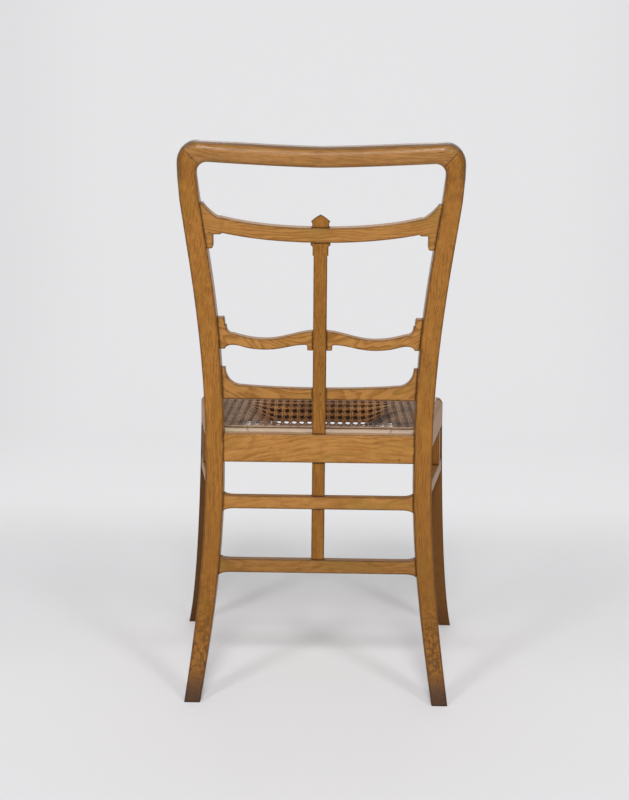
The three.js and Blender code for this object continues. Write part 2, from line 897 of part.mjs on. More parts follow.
// What lies between the rear posts and the front legs, on both sides
const betweenLegs = block([-reach, postDepth + clearance, 0], [reach, legBack - clearance, reach]);

function sideRail() {
  const section = railSection(sideRailThickness, railTopRound);
  const place = sideRailPlace().multiply(new THREE.Matrix4().makeTranslation(0, sideLength / 2, 0));
  const run = railRun(
    section, sideLength + 2 * overrun, new THREE.Vector3(-1, 0, 0), new THREE.Vector3(0, 1, 0), place,
  );
  return joined(run.intersect(betweenLegs), sideTenon(0), sideTenon(1));
}

const rearRail = {
  height: seatRearHeight,
  inset: rearRailInset,
  thickness: rearRailThickness,
  tenonMid: (tenonLow + tenonHigh) / 2,
  tenonHeight: railTenonHeight,
  tenonLength: railTenonLength,
  tenonThickness: railTenonThickness,
  tenonSetShare: 0.3,
};

function rearSeatRail() {
  const place = new THREE.Matrix4().makeTranslation(0, rearRailInset, seatRearHeight);
  const run = railRun(
    railSection(rearRailThickness, rearRailTopRound),
    2 * waistHalfWidth - postWidth,
    new THREE.Vector3(0, 1, 0),
    new THREE.Vector3(1, 0, 0),
    place,
  );
  return joined(betweenPosts(run), twoSided(postTenon(rearRail)));
}

// Front legs

function legOutline() {
  const top = seatRearHeight + seatFrontRise;
  const inner = legHalfWidth - legWidth;
  const innerFootEdge = legFootHalfWidth - legFootWidth;
  const outline = new THREE.Shape();
  outline.moveTo(innerFootEdge, 0);
  outline.lineTo(legFootHalfWidth, 0);
  outline.quadraticCurveTo(
    legHalfWidth + legOuterBulge, top * legOuterFlareShare, legHalfWidth, top - seatRailHeight,
  );
  outline.lineTo(legHalfWidth, top - legTopRound);
  outline.absarc(legHalfWidth - legTopRound, top - legTopRound, legTopRound, 0, Math.PI / 2);
  outline.lineTo(inner, top);
  outline.lineTo(inner, top - seatRailHeight);
  outline.quadraticCurveTo(inner + legInnerBulge, top * legInnerFlareShare, innerFootEdge, 0);
  return outline;
}

function legBand() {
  const top = seatRearHeight + seatFrontRise;
  const heights = [0];
  for (let i = 1; i <= leanSteps / 2; i += 1) {
    heights.push((legCurveStart * 2 * i) / leanSteps);
  }
  heights.push(top);
  const kick = (height) => (Math.max(legCurveStart - height, 0) / legCurveStart) ** rakePower;
  const ahead = heights.map((height) => new THREE.Vector2(seatDepth + legFootKick * kick(height), height));
  const behind = heights.map((height) => new THREE.Vector2(
    legBack + (legFootKick + legDepth - legFootDepth) * kick(height), height,
  ));
  return across(new THREE.Shape([...ahead, ...behind.reverse()]), -reach, reach);
}

const legBlank = slab(legOutline(), -reach, reach).intersect(legBand());
const legKeepOut = toSolid(toGeometry(slab(legOutline(), -reach, reach)).translate(-clearance, 0, 0));

function frontTenon(grow = 0) {
  const inner = legHalfWidth - legWidth;
  const rear = seatDepth - frontRailInset - (frontRailThickness - railTenonThickness) / 2;
  return block(
    [inner - railTenonLength, rear - railTenonThickness, tenonLow],
    [inner + railTenonLength, rear, tenonHigh],
    seatPlace,
    grow,
  );
}

function frontSeatRail() {
  const place = seatPlace.clone();
  place.multiply(new THREE.Matrix4().makeTranslation(0, seatDepth - frontRailInset, 0));
  const run = railRun(
    railSection(frontRailThickness, railTopRound),
    2 * legHalfWidth - legWidth,
    new THREE.Vector3(0, -1, 0),
    new THREE.Vector3(-1, 0, 0),
    place,
  );
  return joined(without(run, twoSided(legKeepOut)), twoSided(frontTenon()));
}

// Stretchers with flared ends

function stretcherOutline(halfLength, halfHeight, far) {
  const edge = (way) => {
    const path = new THREE.Path();
    const start = halfLength - stretcherFlareLength;
    path.moveTo(0, way * halfHeight);
    path.lineTo(start, way * halfHeight);
    path.quadraticCurveTo(
      start + stretcherFlareLength * stretcherHandleShare, way * halfHeight,
      halfLength, way * (halfHeight + stretcherFlareHeight),
    );
    path.lineTo(far, way * (halfHeight + stretcherFlareHeight));
    return path;
  };
  return symmetric(edge(1), edge(-1));
}

const rearStretchers = [
  {
    name: 'rear_upper_stretcher',
    height: upperStretcherHeight,
    half: upperStretcherHalfHeight,
    passed: true,
  },
  {
    name: 'rear_lower_stretcher',
    height: lowerStretcherHeight,
    half: lowerStretcherHalfHeight,
    passed: false,
  },
].map((rail) => ({
  ...rail,
  inset: stretcherInset,
  thickness: stretcherThickness,
  tenonMid: 0,
  tenonHeight: backTenonHeight,
  tenonLength: backTenonLength,
  tenonThickness: backTenonThickness,
  tenonSetShare: 0.3,
}));

const lowerLap = (stretcherInset + stretcherThickness + lowerPostInset) / 2;
const lowerHalf = lowerPostWidth / 2;
const lowerPostTop = seatRearHeight - seatRailHeight - clearance;
const lowerPostFoot = lowerStretcherHeight + lowerStretcherHalfHeight + clearance;

function rearStretcher(rail) {
  const run = innerEdgeAt(rail.height);
  const outline = stretcherOutline(run, rail.half, run + postWidth / 2);
  const body = slab(outline, 0, rail.thickness, reclined(rail.height, rail.inset));
  const whole = joined(betweenPosts(body), twoSided(postTenon(rail)));
  const side = lowerHalf + clearance;
  return rail.passed
    ? without(whole, block([-side, lowerLap - clearance / 2, 0], [side, overrun, seatRearHeight]))
    : without(whole, lowerTenon(lowerPostFoot, clearance));
}

function lowerTenon(height, grow = 0) {
  const middle = lowerPostInset + lowerPostDepth / 2;
  return block(
    [-postTenonWidth / 2, middle - postTenonThickness / 2, height - postTenonLength],
    [postTenonWidth / 2, middle + postTenonThickness / 2, height + postTenonLength],
    new THREE.Matrix4(),
    grow,
  );
}

function lowerCentrePost() {
  const body = block(
    [-lowerHalf, lowerPostInset, lowerPostFoot],
    [lowerHalf, lowerPostInset + lowerPostDepth, lowerPostTop],
  );
  const lap = upperStretcherHalfHeight + clearance;
  const notch = block(
    [-overrun, -overrun, upperStretcherHeight - lap],
    [overrun, lowerLap + clearance / 2, upperStretcherHeight + lap],
  );
  return joined(without(body, notch), lowerTenon(lowerPostFoot), lowerTenon(lowerPostTop));
}

// Side stretchers and the short slats between them and the side rails

const stretcherFront = xAt(legOutline().getPoints(curveSteps), upperStretcherHeight) - sideStretcherInset;
const stretcherAngle = Math.atan((stretcherFront - sideRear) / sideRun);
const stretcherLength = Math.hypot(stretcherFront - sideRear, sideRun);
const sideStretcherPlace = sidePlace(upperStretcherHeight, sideRear, stretcherAngle);

function sideStretcherTenon(end, grow = 0) {
  const inner = -(sideStretcherThickness - backTenonThickness) / 2;
  const at = end * stretcherLength;
  return block(
    [inner - backTenonThickness, at - backTenonLength, -backTenonHeight / 2],
    [inner, at + backTenonLength, backTenonHeight / 2],
    sideStretcherPlace,
    grow,
  );
}

function slatPlace() {
  const middle = postDepth + slatPlaceShare * sideRun;
  const outer = sideRear + slatPlaceShare * (legHalfWidth - sideRear);
  return new THREE.Matrix4()
    .makeTranslation(outer - slatThickness / 2, middle, 0)
    .multiply(new THREE.Matrix4().makeRotationZ(-sideAngle));
}

const slatFoot = upperStretcherHeight + upperStretcherHalfHeight + clearance;

function slatBlank(low, high, width, thickness, grow = 0) {
  return block([-thickness / 2, -width / 2, low], [thickness / 2, width / 2, high], slatPlace(), grow);
}

function slatTenons(grow = 0) {
  const high = seatRearHeight + seatFrontRise - seatRailHeight + postTenonLength / 2;
  return slatBlank(slatFoot - postTenonLength / 2, high, postTenonWidth, postTenonThickness, grow);
}

function sideSlat() {
  const under = block(
    [-reach, -reach, -reach],
    [reach, reach, -seatRailHeight - clearance],
    seatPlace,
  );
  const body = slatBlank(slatFoot, seatRearHeight, slatWidth, slatThickness).intersect(under);
  return body.add(slatTenons());
}

function sideStretcher() {
  const outline = stretcherOutline(stretcherLength / 2, upperStretcherHalfHeight, stretcherLength);
  const place = sideStretcherPlace.clone();
  place.multiply(new THREE.Matrix4().makeTranslation(0, stretcherLength / 2, 0));
  place.multiply(new THREE.Matrix4().makeRotationZ(Math.PI / 2));
  const body = slab(outline, 0, sideStretcherThickness, place);
  const whole = joined(body.intersect(betweenLegs), sideStretcherTenon(0), sideStretcherTenon(1));
  return without(whole, slatTenons(clearance));
}

// Drop-in seat frame, in the frame of the seat

const frameRear = rearRailInset + rearRailThickness - rabbetWidth + clearance;
const frameFront = seatDepth - frontRailInset - frontRailThickness + rabbetWidth - clearance;
const frameSideInset = (sideRailThickness - rabbetWidth + clearance) / Math.cos(sideAngle);

function sideLine(y, inset = 0) {
  return sideRear + (y - postDepth) * Math.tan(sideAngle) - frameSideInset - inset / Math.cos(sideAngle);
}

function trapezoid(inset, rearInset, rounding) {
  const [rear, front] = [frameRear + rearInset, frameFront - inset];
  const corners = [
    [sideLine(rear, inset), rear],
    [sideLine(front, inset), front],
    [-sideLine(front, inset), front],
    [-sideLine(rear, inset), rear],
  ].map((corner) => new THREE.Vector2(...corner));
  const outline = new THREE.Shape();
  corners.forEach((corner, i) => {
    const before = corners[(i + 3) % 4];
    const after = corners[(i + 1) % 4];
    const enter = corner.clone().add(before.clone().sub(corner).setLength(rounding));
    const leave = corner.clone().add(after.clone().sub(corner).setLength(rounding));
    if (i === 0) {
      outline.moveTo(enter.x, enter.y);
    } else {
      outline.lineTo(enter.x, enter.y);
    }
    outline.quadraticCurveTo(corner.x, corner.y, leave.x, leave.y);
  });
  return outline;
}

const memberPlan = (low, high) => new THREE.Shape([
  new THREE.Vector2(-sideLine(low, frameMemberWidth), low),
  new THREE.Vector2(sideLine(low, frameMemberWidth), low),
  new THREE.Vector2(sideLine(high, frameMemberWidth), high),
  new THREE.Vector2(-sideLine(high, frameMemberWidth), high),
]);

function frameSolid(grow, above = grow) {
  const plan = new THREE.Shape([
    new THREE.Vector2(innerWaist - clearance + grow, frameRear - grow),
    new THREE.Vector2(innerWaist - clearance + grow, postDepth + clearance - grow),
    new THREE.Vector2(sideLine(postDepth, -grow), postDepth + clearance - grow),
    new THREE.Vector2(sideLine(frameFront, -grow), frameFront + grow),
    new THREE.Vector2(-sideLine(frameFront, -grow), frameFront + grow),
    new THREE.Vector2(-sideLine(postDepth, -grow), postDepth + clearance - grow),
    new THREE.Vector2(clearance - innerWaist - grow, postDepth + clearance - grow),
    new THREE.Vector2(clearance - innerWaist - grow, frameRear - grow),
  ]);
  return plate(plan, frameBottom - grow, frameProud + above, seatPlace);
}

function frameTenon(y, grow = 0) {
  const middle = (frameProud + frameBottom) / 2;
  const edge = sideLine(y, frameMemberWidth);
  return block(
    [edge - frameTenonLength, y - frameTenonWidth / 2, middle - frameTenonThickness / 2],
    [edge + frameTenonLength, y + frameTenonWidth / 2, middle + frameTenonThickness / 2],
    seatPlace,
    grow,
  );
}

const memberMiddles = [frameRear + frameMemberWidth / 2, frameFront - frameMemberWidth / 2];

function frameCrossMember(end) {
  const [low, high] = [
    [frameRear, frameRear + frameMemberWidth],
    [frameFront - frameMemberWidth, frameFront],
  ][end];
  const prism = plate(memberPlan(low, high), frameBottom, frameProud, seatPlace);
  return prism.add(twoSided(frameTenon(memberMiddles[end])));
}

function frameSideMember() {
  const plan = new THREE.Shape([
    new THREE.Vector2(sideLine(frameRear, frameMemberWidth - clearance), frameRear),
    new THREE.Vector2(sideLine(frameRear) + overrun, frameRear),
    new THREE.Vector2(sideLine(frameFront) + overrun, frameFront),
    new THREE.Vector2(sideLine(frameFront, frameMemberWidth - clearance), frameFront),
  ]);
  const body = plate(plan, frameBottom, frameProud, seatPlace).intersect(frameSolid(0));
  return without(body, ...memberMiddles.map((y) => frameTenon(y, clearance)));
}

// Cane: a net with eight-sided gaps over the opening, its edge under a strip of binding cane

const caneBottom = frameProud + clearance;
const caneTop = caneBottom + caneThickness;

// The old cane has sunk inside the frame, with a slow bend along the frame's edge
function sagAt(x, y) {
  const toRear = y - frameRear - frameMemberWidth;
  const toFront = frameFront - frameMemberWidth - y;
  const toSide = sideLine(y, frameMemberWidth) - Math.abs(x);
  const sinkAt = (room) => THREE.MathUtils.smoothstep(room - caneSagInset, 0, caneSagRun);
  return caneSag * sinkAt(Math.min(toRear, toFront)) * sinkAt(toSide);
}

function caneNet() {
  const half = caneGap / 2;
  const cut = half * (1 - gapCornerShare * 2);
  const edge = binderWidth + caneEdgeBand;
  const rear = frameRear + caneRearMargin + edge;
  const front = frameFront - caneMargin - edge;
  const rows = Math.floor((front - rear) / canePitch);
  const first = (rear + front - (rows - 1) * canePitch) / 2;
  const gaps = [];
  for (let row = 0; row < rows; row += 1) {
    const y = first + row * canePitch;
    const room = sideLine(y - half, caneMargin + edge);
    const columns = Math.floor((room - half) / canePitch);
    for (let column = -columns; column <= columns; column += 1) {
      const x = column * canePitch;
      gaps.push(new THREE.Shape([
        [half, -cut], [half, cut], [cut, half], [-cut, half],
        [-half, cut], [-half, -cut], [-cut, -half], [cut, -half],
      ].map(([dx, dy]) => new THREE.Vector2(x + dx, y + dy))));
    }
  }
  const outline = trapezoid(caneMargin, caneRearMargin, caneCornerRound);
  const net = without(plate(outline, caneBottom, caneTop), plate(gaps, frameBottom, overrun));
  const sunk = net.warp((spot) => {
    spot[2] -= sagAt(spot[0], spot[1]);
  });
  return sunk.transform(seatPlace.elements);
}

function caneBinder() {
  const outline = trapezoid(caneMargin, caneRearMargin, caneCornerRound);
  const inner = trapezoid(
    caneMargin + binderWidth, caneRearMargin + binderWidth, caneCornerRound - binderWidth,
  );
  outline.holes.push(new THREE.Path(inner.getPoints(roundSteps)));
  const low = caneTop + clearance;
  return plate(outline, low, low + binderThickness, seatPlace);
}

// Corner blocks and their screws, in the frame of the seat

const blockTop = frameBottom - clearance;
const blockLow = blockTop - blockHeight;

function innerFace(y) {
  const outer = sideRear + (y - postDepth) * Math.tan(sideAngle);
  return outer - (sideRailThickness + clearance) / Math.cos(sideAngle);
}

const rearFace = rearRailInset + rearRailThickness + clearance;
const frontFace = seatDepth - frontRailInset - frontRailThickness - clearance;
const legInner = legHalfWidth - legWidth - clearance;
const slopeRoom = seatRailHeight * Math.sin(seatSlope);

const corners = {
  rear: {
    post: [innerWaist - clearance, postDepth + clearance],
    face: rearFace,
    way: 1,
  },
  front: {
    post: [legInner, legBack - clearance - slopeRoom],
    face: frontFace,
    way: -1,
  },
};

function blockPlan({ post, face, way }) {
  const [x, y] = post;
  const far = y + way * blockLeg;
  return [
    [x - blockLeg, face],
    [x, face],
    [x, y],
    [innerFace(y), y],
    [innerFace(far), far],
    [innerFace(far) - blockNose, far],
    [x - blockLeg, face + way * blockNose],
  ];
}

// A screw with its point towards +Z and the bottom of its head at Z = 0
function screw(length, grow = 0, sunk = 0) {
  const profile = [
    [0, -screwHeadHeight - grow - sunk],
    [screwHeadRadius + grow, -screwHeadHeight - grow - sunk],
    [screwHeadRadius + grow, grow],
    [screwShankRadius + grow, grow],
    [screwShankRadius + grow, length - screwHeadRadius + grow],
    [0, length + grow],
  ].map((point) => new THREE.Vector2(...point));
  return new THREE.LatheGeometry(profile, screwSides).rotateX(Math.PI / 2);
}

const blockMiddle = (blockTop + blockLow) / 2;

function blockScrews(name) {
  const corner = corners[name];
  const plan = blockPlan(corner);
  const along = (from, to, share) => from.map((value, i) => value + (to[i] - value) * share);
  const cross = along(plan[6], plan[5], screwPlaceShare);
  const side = along(plan[5], plan[6], screwPlaceShare);
  const seatSpot = [corner.post[0] - seatScrewInset, corner.post[1] + corner.way * seatScrewInset];
  const crossDepth = (cross[1] - corner.face) * corner.way;
  const sideDepth = (innerFace(side[1]) - side[0]) * Math.cos(sideAngle);
  return {
    cross: {
      length: screwLength,
      place: new THREE.Matrix4()
        .makeTranslation(cross[0], corner.face + corner.way * (screwLength - screwBite), blockMiddle)
        .multiply(new THREE.Matrix4().makeRotationX((corner.way * Math.PI) / 2)),
      sunk: crossDepth,
    },
    side: {
      length: screwLength,
      place: new THREE.Matrix4()
        .makeTranslation(innerFace(side[1]), side[1], blockMiddle)
        .multiply(new THREE.Matrix4().makeRotationZ(-sideAngle))
        .multiply(new THREE.Matrix4().makeTranslation(screwBite - screwLength, 0, 0))
        .multiply(new THREE.Matrix4().makeRotationY(Math.PI / 2)),
      sunk: sideDepth,
    },
    seat: {
      length: blockHeight + screwBite,
      place: new THREE.Matrix4().makeTranslation(...seatSpot, blockLow + clearance + screwHeadHeight),
      sunk: blockHeight,
    },
  };
}

function screwSolid({ length, place }, grow = 0, sunk = 0) {
  return toSolid(screw(length, grow, sunk).applyMatrix4(place).applyMatrix4(seatPlace));
}

function cornerBlock(name) {
  const plan = new THREE.Shape(blockPlan(corners[name]).map((point) => new THREE.Vector2(...point)));
  const body = plate(plan, blockLow, blockTop, seatPlace);
  const holes = Object.values(blockScrews(name)).map((one) => screwSolid(one, clearance, one.sunk));
  return without(body, ...holes);
}

const screwHoles = Object.keys(corners).flatMap((name) => (
  Object.values(blockScrews(name)).map((one) => screwSolid(one, clearance))
));

// Mortises that the right post and the right front leg take

const postMortises = [
  ...backRails.map((rail) => postTenon(rail, clearance)),
  ...rearStretchers.map((rail) => postTenon(rail, clearance)),
  postTenon(rearRail, clearance),
  sideTenon(0, clearance),
  sideStretcherTenon(0, clearance),
  ...Object.values(dowelPlaceShares).map((place) => crestDowel(place, clearance)),
];

const legMortises = [
  sideTenon(1, clearance),
  sideStretcherTenon(1, clearance),
  frontTenon(clearance),
  frameSolid(clearance, overrun),
];

// The chair

const chair = new THREE.Group();

function add(name, geometry, material) {
  const mesh = new THREE.Mesh(geometry, material);
  mesh.name = name;
  chair.add(mesh);
}

function addOne(name, solid, material) {
  add(name, toGeometry(solid), material);
}

function addPair(name, solid, material) {
  const geometry = toGeometry(solid);
  add(`${name}_right`, geometry, material);
  add(`${name}_left`, mirrored(geometry), material);
}

addPair('rear_post', without(postBody, ...postMortises), postWood);
addPair('front_leg', without(legBlank, ...legMortises), postWood);
const crestHoles = Object.values(dowelPlaceShares).map((place) => twoSided(crestDowel(place, clearance)));
addOne('crest_rail', without(crestRail(), ...crestHoles), railWood);
backRails.forEach((rail) => addOne(rail.name, backRail(rail), railWood));
addOne('centre_post', centrePost(), postWood);
addOne('lower_centre_post', lowerCentrePost(), postWood);
rearStretchers.forEach((rail) => addOne(rail.name, rearStretcher(rail), railWood));

const rearRailCuts = [
  centreTenon(clearance),
  lowerTenon(lowerPostTop, clearance),
  ...screwHoles.map(twoSided),
];
addOne('rear_seat_rail', without(rearSeatRail(), ...rearRailCuts), railWood);
addOne('front_seat_rail', without(frontSeatRail(), ...screwHoles.map(twoSided)), railWood);
addPair('side_seat_rail', without(sideRail(), slatTenons(clearance), ...screwHoles), railWood);
addPair('side_stretcher', sideStretcher(), railWood);
addPair('side_slat', sideSlat(), postWood);

addOne('seat_frame_rear', without(frameCrossMember(0), ...screwHoles.map(twoSided)), frameWood);
addOne('seat_frame_front', without(frameCrossMember(1), ...screwHoles.map(twoSided)), frameWood);
addPair('seat_frame_side', without(frameSideMember(), ...screwHoles), frameWood);
addOne('cane_net', caneNet(), caneFibre);
addOne('cane_binder', caneBinder(), caneFibre);

Object.keys(corners).forEach((name) => {
  addPair(`corner_block_${name}`, cornerBlock(name), rawWood);
  Object.entries(blockScrews(name)).forEach(([use, one]) => {
    addPair(`${use}_screw_${name}`, screwSolid(one), screwSteel);
  });
});
Object.entries(dowelPlaceShares).forEach(([name, place]) => {
  addPair(`crest_dowel_${name}`, crestDowel(place), rawWood);
});

// The origin is under the middle of the chair's box
const middle = new THREE.Box3().setFromObject(chair).getCenter(new THREE.Vector3());
chair.position.y = -middle.y;

export default chair;
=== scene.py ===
import math

import bmesh
import bpy
from mathutils import Matrix, Vector


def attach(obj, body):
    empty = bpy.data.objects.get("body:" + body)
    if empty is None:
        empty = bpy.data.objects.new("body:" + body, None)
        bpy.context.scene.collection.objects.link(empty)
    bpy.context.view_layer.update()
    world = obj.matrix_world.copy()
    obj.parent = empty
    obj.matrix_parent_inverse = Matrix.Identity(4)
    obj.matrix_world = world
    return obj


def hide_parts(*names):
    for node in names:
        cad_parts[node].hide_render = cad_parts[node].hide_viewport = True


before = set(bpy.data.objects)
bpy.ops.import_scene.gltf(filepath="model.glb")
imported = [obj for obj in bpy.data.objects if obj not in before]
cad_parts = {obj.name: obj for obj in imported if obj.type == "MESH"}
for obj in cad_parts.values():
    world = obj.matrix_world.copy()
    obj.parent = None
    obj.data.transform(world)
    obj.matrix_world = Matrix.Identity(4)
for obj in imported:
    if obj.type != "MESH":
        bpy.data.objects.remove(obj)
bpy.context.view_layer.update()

# ---------------------------------------------------------------- camera

LENS, SENSOR_HEIGHT, VIEW_END = 60.41, 36.0, 60.0
CAMERA_SPOT = (0.030, -2.4286, 0.80405)
CAMERA_PAN, CAMERA_DIP, CAMERA_ROLL = 0.965, 7.3213, 0.589


def place_camera():
    """The photograph's view: from behind the chair, a little above the seat"""
    data = bpy.data.cameras.new("camera")
    data.sensor_fit = "VERTICAL"
    data.sensor_height = SENSOR_HEIGHT
    data.lens = LENS
    data.clip_end = VIEW_END
    camera = bpy.data.objects.new("camera", data)
    turn = (
        Matrix.Rotation(math.radians(CAMERA_PAN), 4, "Z")
        @ Matrix.Rotation(math.radians(90 - CAMERA_DIP), 4, "X")
        @ Matrix.Rotation(math.radians(CAMERA_ROLL), 4, "Z")
    )
    camera.matrix_world = Matrix.Translation(CAMERA_SPOT) @ turn
    bpy.context.scene.collection.objects.link(camera)
    bpy.context.scene.camera = camera


place_camera()

# ---------------------------------------------------------------- shader maths


class Signal:
    """A socket's value, which can be used in sums"""

    def __init__(self, finish, socket):
        self.finish = finish
        self.socket = socket

    def worked(self, operation, *values):
        return self.finish.node(
            "ShaderNodeMath", {"operation": operation}, dict(enumerate(values))
        )

    def __add__(self, other):
        return self.worked("ADD", self, other)

    __radd__ = __add__

    def __sub__(self, other):
        return self.worked("SUBTRACT", self, other)

    def __rsub__(self, other):
        return self.worked("SUBTRACT", other, self)

    def __mul__(self, other):
        return self.worked("MULTIPLY", self, other)

    __rmul__ = __mul__

    def __truediv__(self, other):
        return self.worked("DIVIDE", self, other)

    def __pow__(self, other):
        return self.worked("POWER", self, other)

    def __abs__(self):
        return self.worked("ABSOLUTE", self)

    def fraction(self):
        return self.worked("FRACT", self)

    def at_most(self, limit):
        return self.worked("MINIMUM", self, limit)

    def at_least(self, limit):
        return self.worked("MAXIMUM", self, limit)


class Finish:
    """A material, or the room around the chair, and the one way its nodes are made"""

    def __init__(self, name, world=False):
        self.material = bpy.data.worlds.new(name) if world else bpy.data.materials.new(name)
        self.material.use_nodes = True
        self.tree = self.material.node_tree
        self.tree.nodes.clear()

    def node(self, kind, settings=None, inputs=None, output=0):
        """A node of a kind, and the signal that leaves it, by the output's number or name"""
        made = self.tree.nodes.new(kind)
        for key, value in (settings or {}).items():
            setattr(made, key, value)
        for key, value in (inputs or {}).items():
            socket = made.inputs[key]
            if isinstance(value, Signal):
                self.tree.links.new(value.socket, socket)
            elif socket.type == "RGBA":
                socket.default_value = (*value, 1.0)
            else:
                socket.default_value = value
        return Signal(self, made.outputs[output]) if made.outputs else None

    def axes(self, place):
        """The X, Y and Z of a place"""
        return (self.node("ShaderNodeSeparateXYZ", None, {"Vector": place}, way) for way in "XYZ")

    def towards(self, first, second):
        """How far one direction agrees with another, 1 where they are the same"""
        settings = {"operation": "DOT_PRODUCT"}
        return self.node("ShaderNodeVectorMath", settings, {0: first, 1: second}, "Value")

    def between(self, amount, low, high):
        """0 below low, 1 above high, smooth in between"""
        return self.node(
            "ShaderNodeMapRange",
            {"interpolation_type": "SMOOTHSTEP"},
            {"Value": amount, "From Min": low, "From Max": high},
        )

    def mix(self, amount, first, second, blend="MIX"):
        """The second colour over the first; 6, 7 and 2 are the node's colour sockets"""
        return self.node(
            "ShaderNodeMix",
            {"data_type": "RGBA", "blend_type": blend},
            {0: amount, 6: first, 7: second},
            2,
        )

    def noise(self, place, scale, detail, rough):
        return self.node(
            "ShaderNodeTexNoise",
            None,
            {"Vector": place, "Scale": scale, "Detail": detail, "Roughness": rough},
        )

    def drawn_out(self, place, along, across, detail, rough):
        """Noise that is longer along the X axis than across it"""
        scale = {"Vector": place, "Scale": (along, across, across)}
        return self.noise(self.node("ShaderNodeMapping", None, scale), 1.0, detail, rough)

    def bump(self, strength, distance, height, **under):
        inputs = {"Strength": strength, "Distance": distance, "Height": height, **under}
        return self.node("ShaderNodeBump", None, inputs)

    def crease(self, reach):
        """How enclosed a spot is, 0 in the open and 1 in a closed corner"""
        return 1.0 - self.node(
            "ShaderNodeAmbientOcclusion", {"samples": 6}, {"Distance": reach}, "AO"
        )

    def seen(self):
        """1 for a ray that shows the background, 0 for one that lights the chair"""
        kinds = ("Is Camera Ray", "Is Glossy Ray", "Is Transmission Ray")
        camera, glossy, through = (self.node("ShaderNodeLightPath", output=kind) for kind in kinds)
        return (camera + glossy + through).at_most(1.0)

    def surface(self, **inputs):
        names = {name.replace("_", " "): value for name, value in inputs.items()}
        shader = self.node("ShaderNodeBsdfPrincipled", None, names)
        self.node("ShaderNodeOutputMaterial", None, {"Surface": shader})
        return self.material


def scaled(colour, share):
    return tuple(value * share for value in colour)


def tinted(colour, tint):
    return tuple(value * share for value, share in zip(colour, tint))


# ---------------------------------------------------------------- wood

MM = 0.001

# The shield's outline as the CAD has it: its top, its round corners and the dip between them
TOP, CORNER_ROUND, CORNER_MIDDLE = 0.938, 0.034, 0.198
CREST_DIP, CREST_DIP_POWER = 0.0085, 1.35

# The crown of the crest: how far in from the edge it runs, how steeply it rises,
# and the heights on the posts between which it begins
CROWN_RUN, CROWN_RISE = 0.0195, 23.0
CROWN_BEGINS = (0.86, 0.90)

# Heights on the posts between which the head begins, its darkening in creases (dirt and painted
# shade) ends and the mitre fades
HEAD_BEGINS = (0.86, 0.88)
HEAD_CREASE_ENDS = (0.875, 0.885)
MITRE_FADES = (0.893, 0.905)
# Squares of the heights over or under the mitre between which its softened line ends
MITRE_ENDS = (0.00002, 0.00005)
# Squares of the distances from the middle between which the polish of the shield begins
POLISH_BEGINS = (0.014, 0.036)

# The dark brown of dirt and of painted shade, laid in creases and corners and along the arrises
DIRT_AND_SHADE = (0.050, 0.018, 0.003)
FOOT_DIRT = (0.030, 0.012, 0.008)
OLIVE, RUSSET = (0.80, 0.98, 0.75), (0.95, 0.74, 0.90)

# How a piece's seed moves it through the noises, in metres
BOARD_STEP = (0.37, 0.11, 0.07)
# Each noise of the grain: how fine it is along and across the grain, its detail and roughness
GRAIN = {
    "warp": (0.006, 0.022, 2.0, 0.5),
    "streaks": (0.022, 0.28, 3.0, 0.6),
    "fibres": (0.05, 1.0, 3.0, 0.65),
    "dashes": (0.10, 2.4, 2.0, 0.5),
    "patches": (0.009, 0.03, 2.0, 0.5),
    "blotches": (0.07, 0.17, 3.0, 0.6),
    "flecks": (0.09, 0.22, 2.0, 0.5),
}
RING_WANDER = 30.0
ARRIS_SHOWS = (0.004, 0.045)
CREASE_REACH = 0.006
COAT_ROUGHNESS = 0.14
PORE_DEPTH = 0.0004


def edges_of(f, radius):
    """A normal that rounds the arrises, and how near an arris a spot is"""
    soft = f.node("ShaderNodeBevel", {"samples": 4}, {"Radius": radius})
    flat = f.node("ShaderNodeNewGeometry", output="Normal")
    return soft, f.between(1.0 - f.towards(soft, flat), *ARRIS_SHOWS)


def crowned(f, side, height):
    """Height of a shallow crown across the crest and the posts' heads, in metres"""
    out = abs(side)
    past = (out - CORNER_MIDDLE).at_least(0.0)
    dip = CREST_DIP * (1.0 - (out / CORNER_MIDDLE).at_most(1.0) ** CREST_DIP_POWER)
    up = height + dip - (TOP - CORNER_ROUND)
    inward = CORNER_ROUND - (past * past + up * up) ** 0.5
    run = CROWN_RUN - inward.at_most(CROWN_RUN)
    return run * run * f.between(height, *CROWN_BEGINS) * -CROWN_RISE


def board_of(f, side, depth, height, grain, seed, arch):
    """Places on a board in millimetres, its grain along the X axis, bent into an arch"""
    middle, rise = arch
    arched = height + (side - middle) * (side - middle) * rise
    bent = f.node("ShaderNodeCombineXYZ", None, {"X": side, "Y": depth, "Z": arched})
    return f.node(
        "ShaderNodeMapping",
        {"vector_type": "TEXTURE"},
        {
            "Vector": bent,
            "Location": scaled(BOARD_STEP, seed),
            "Rotation": grain,
            "Scale": (MM, MM, MM),
        },
    )


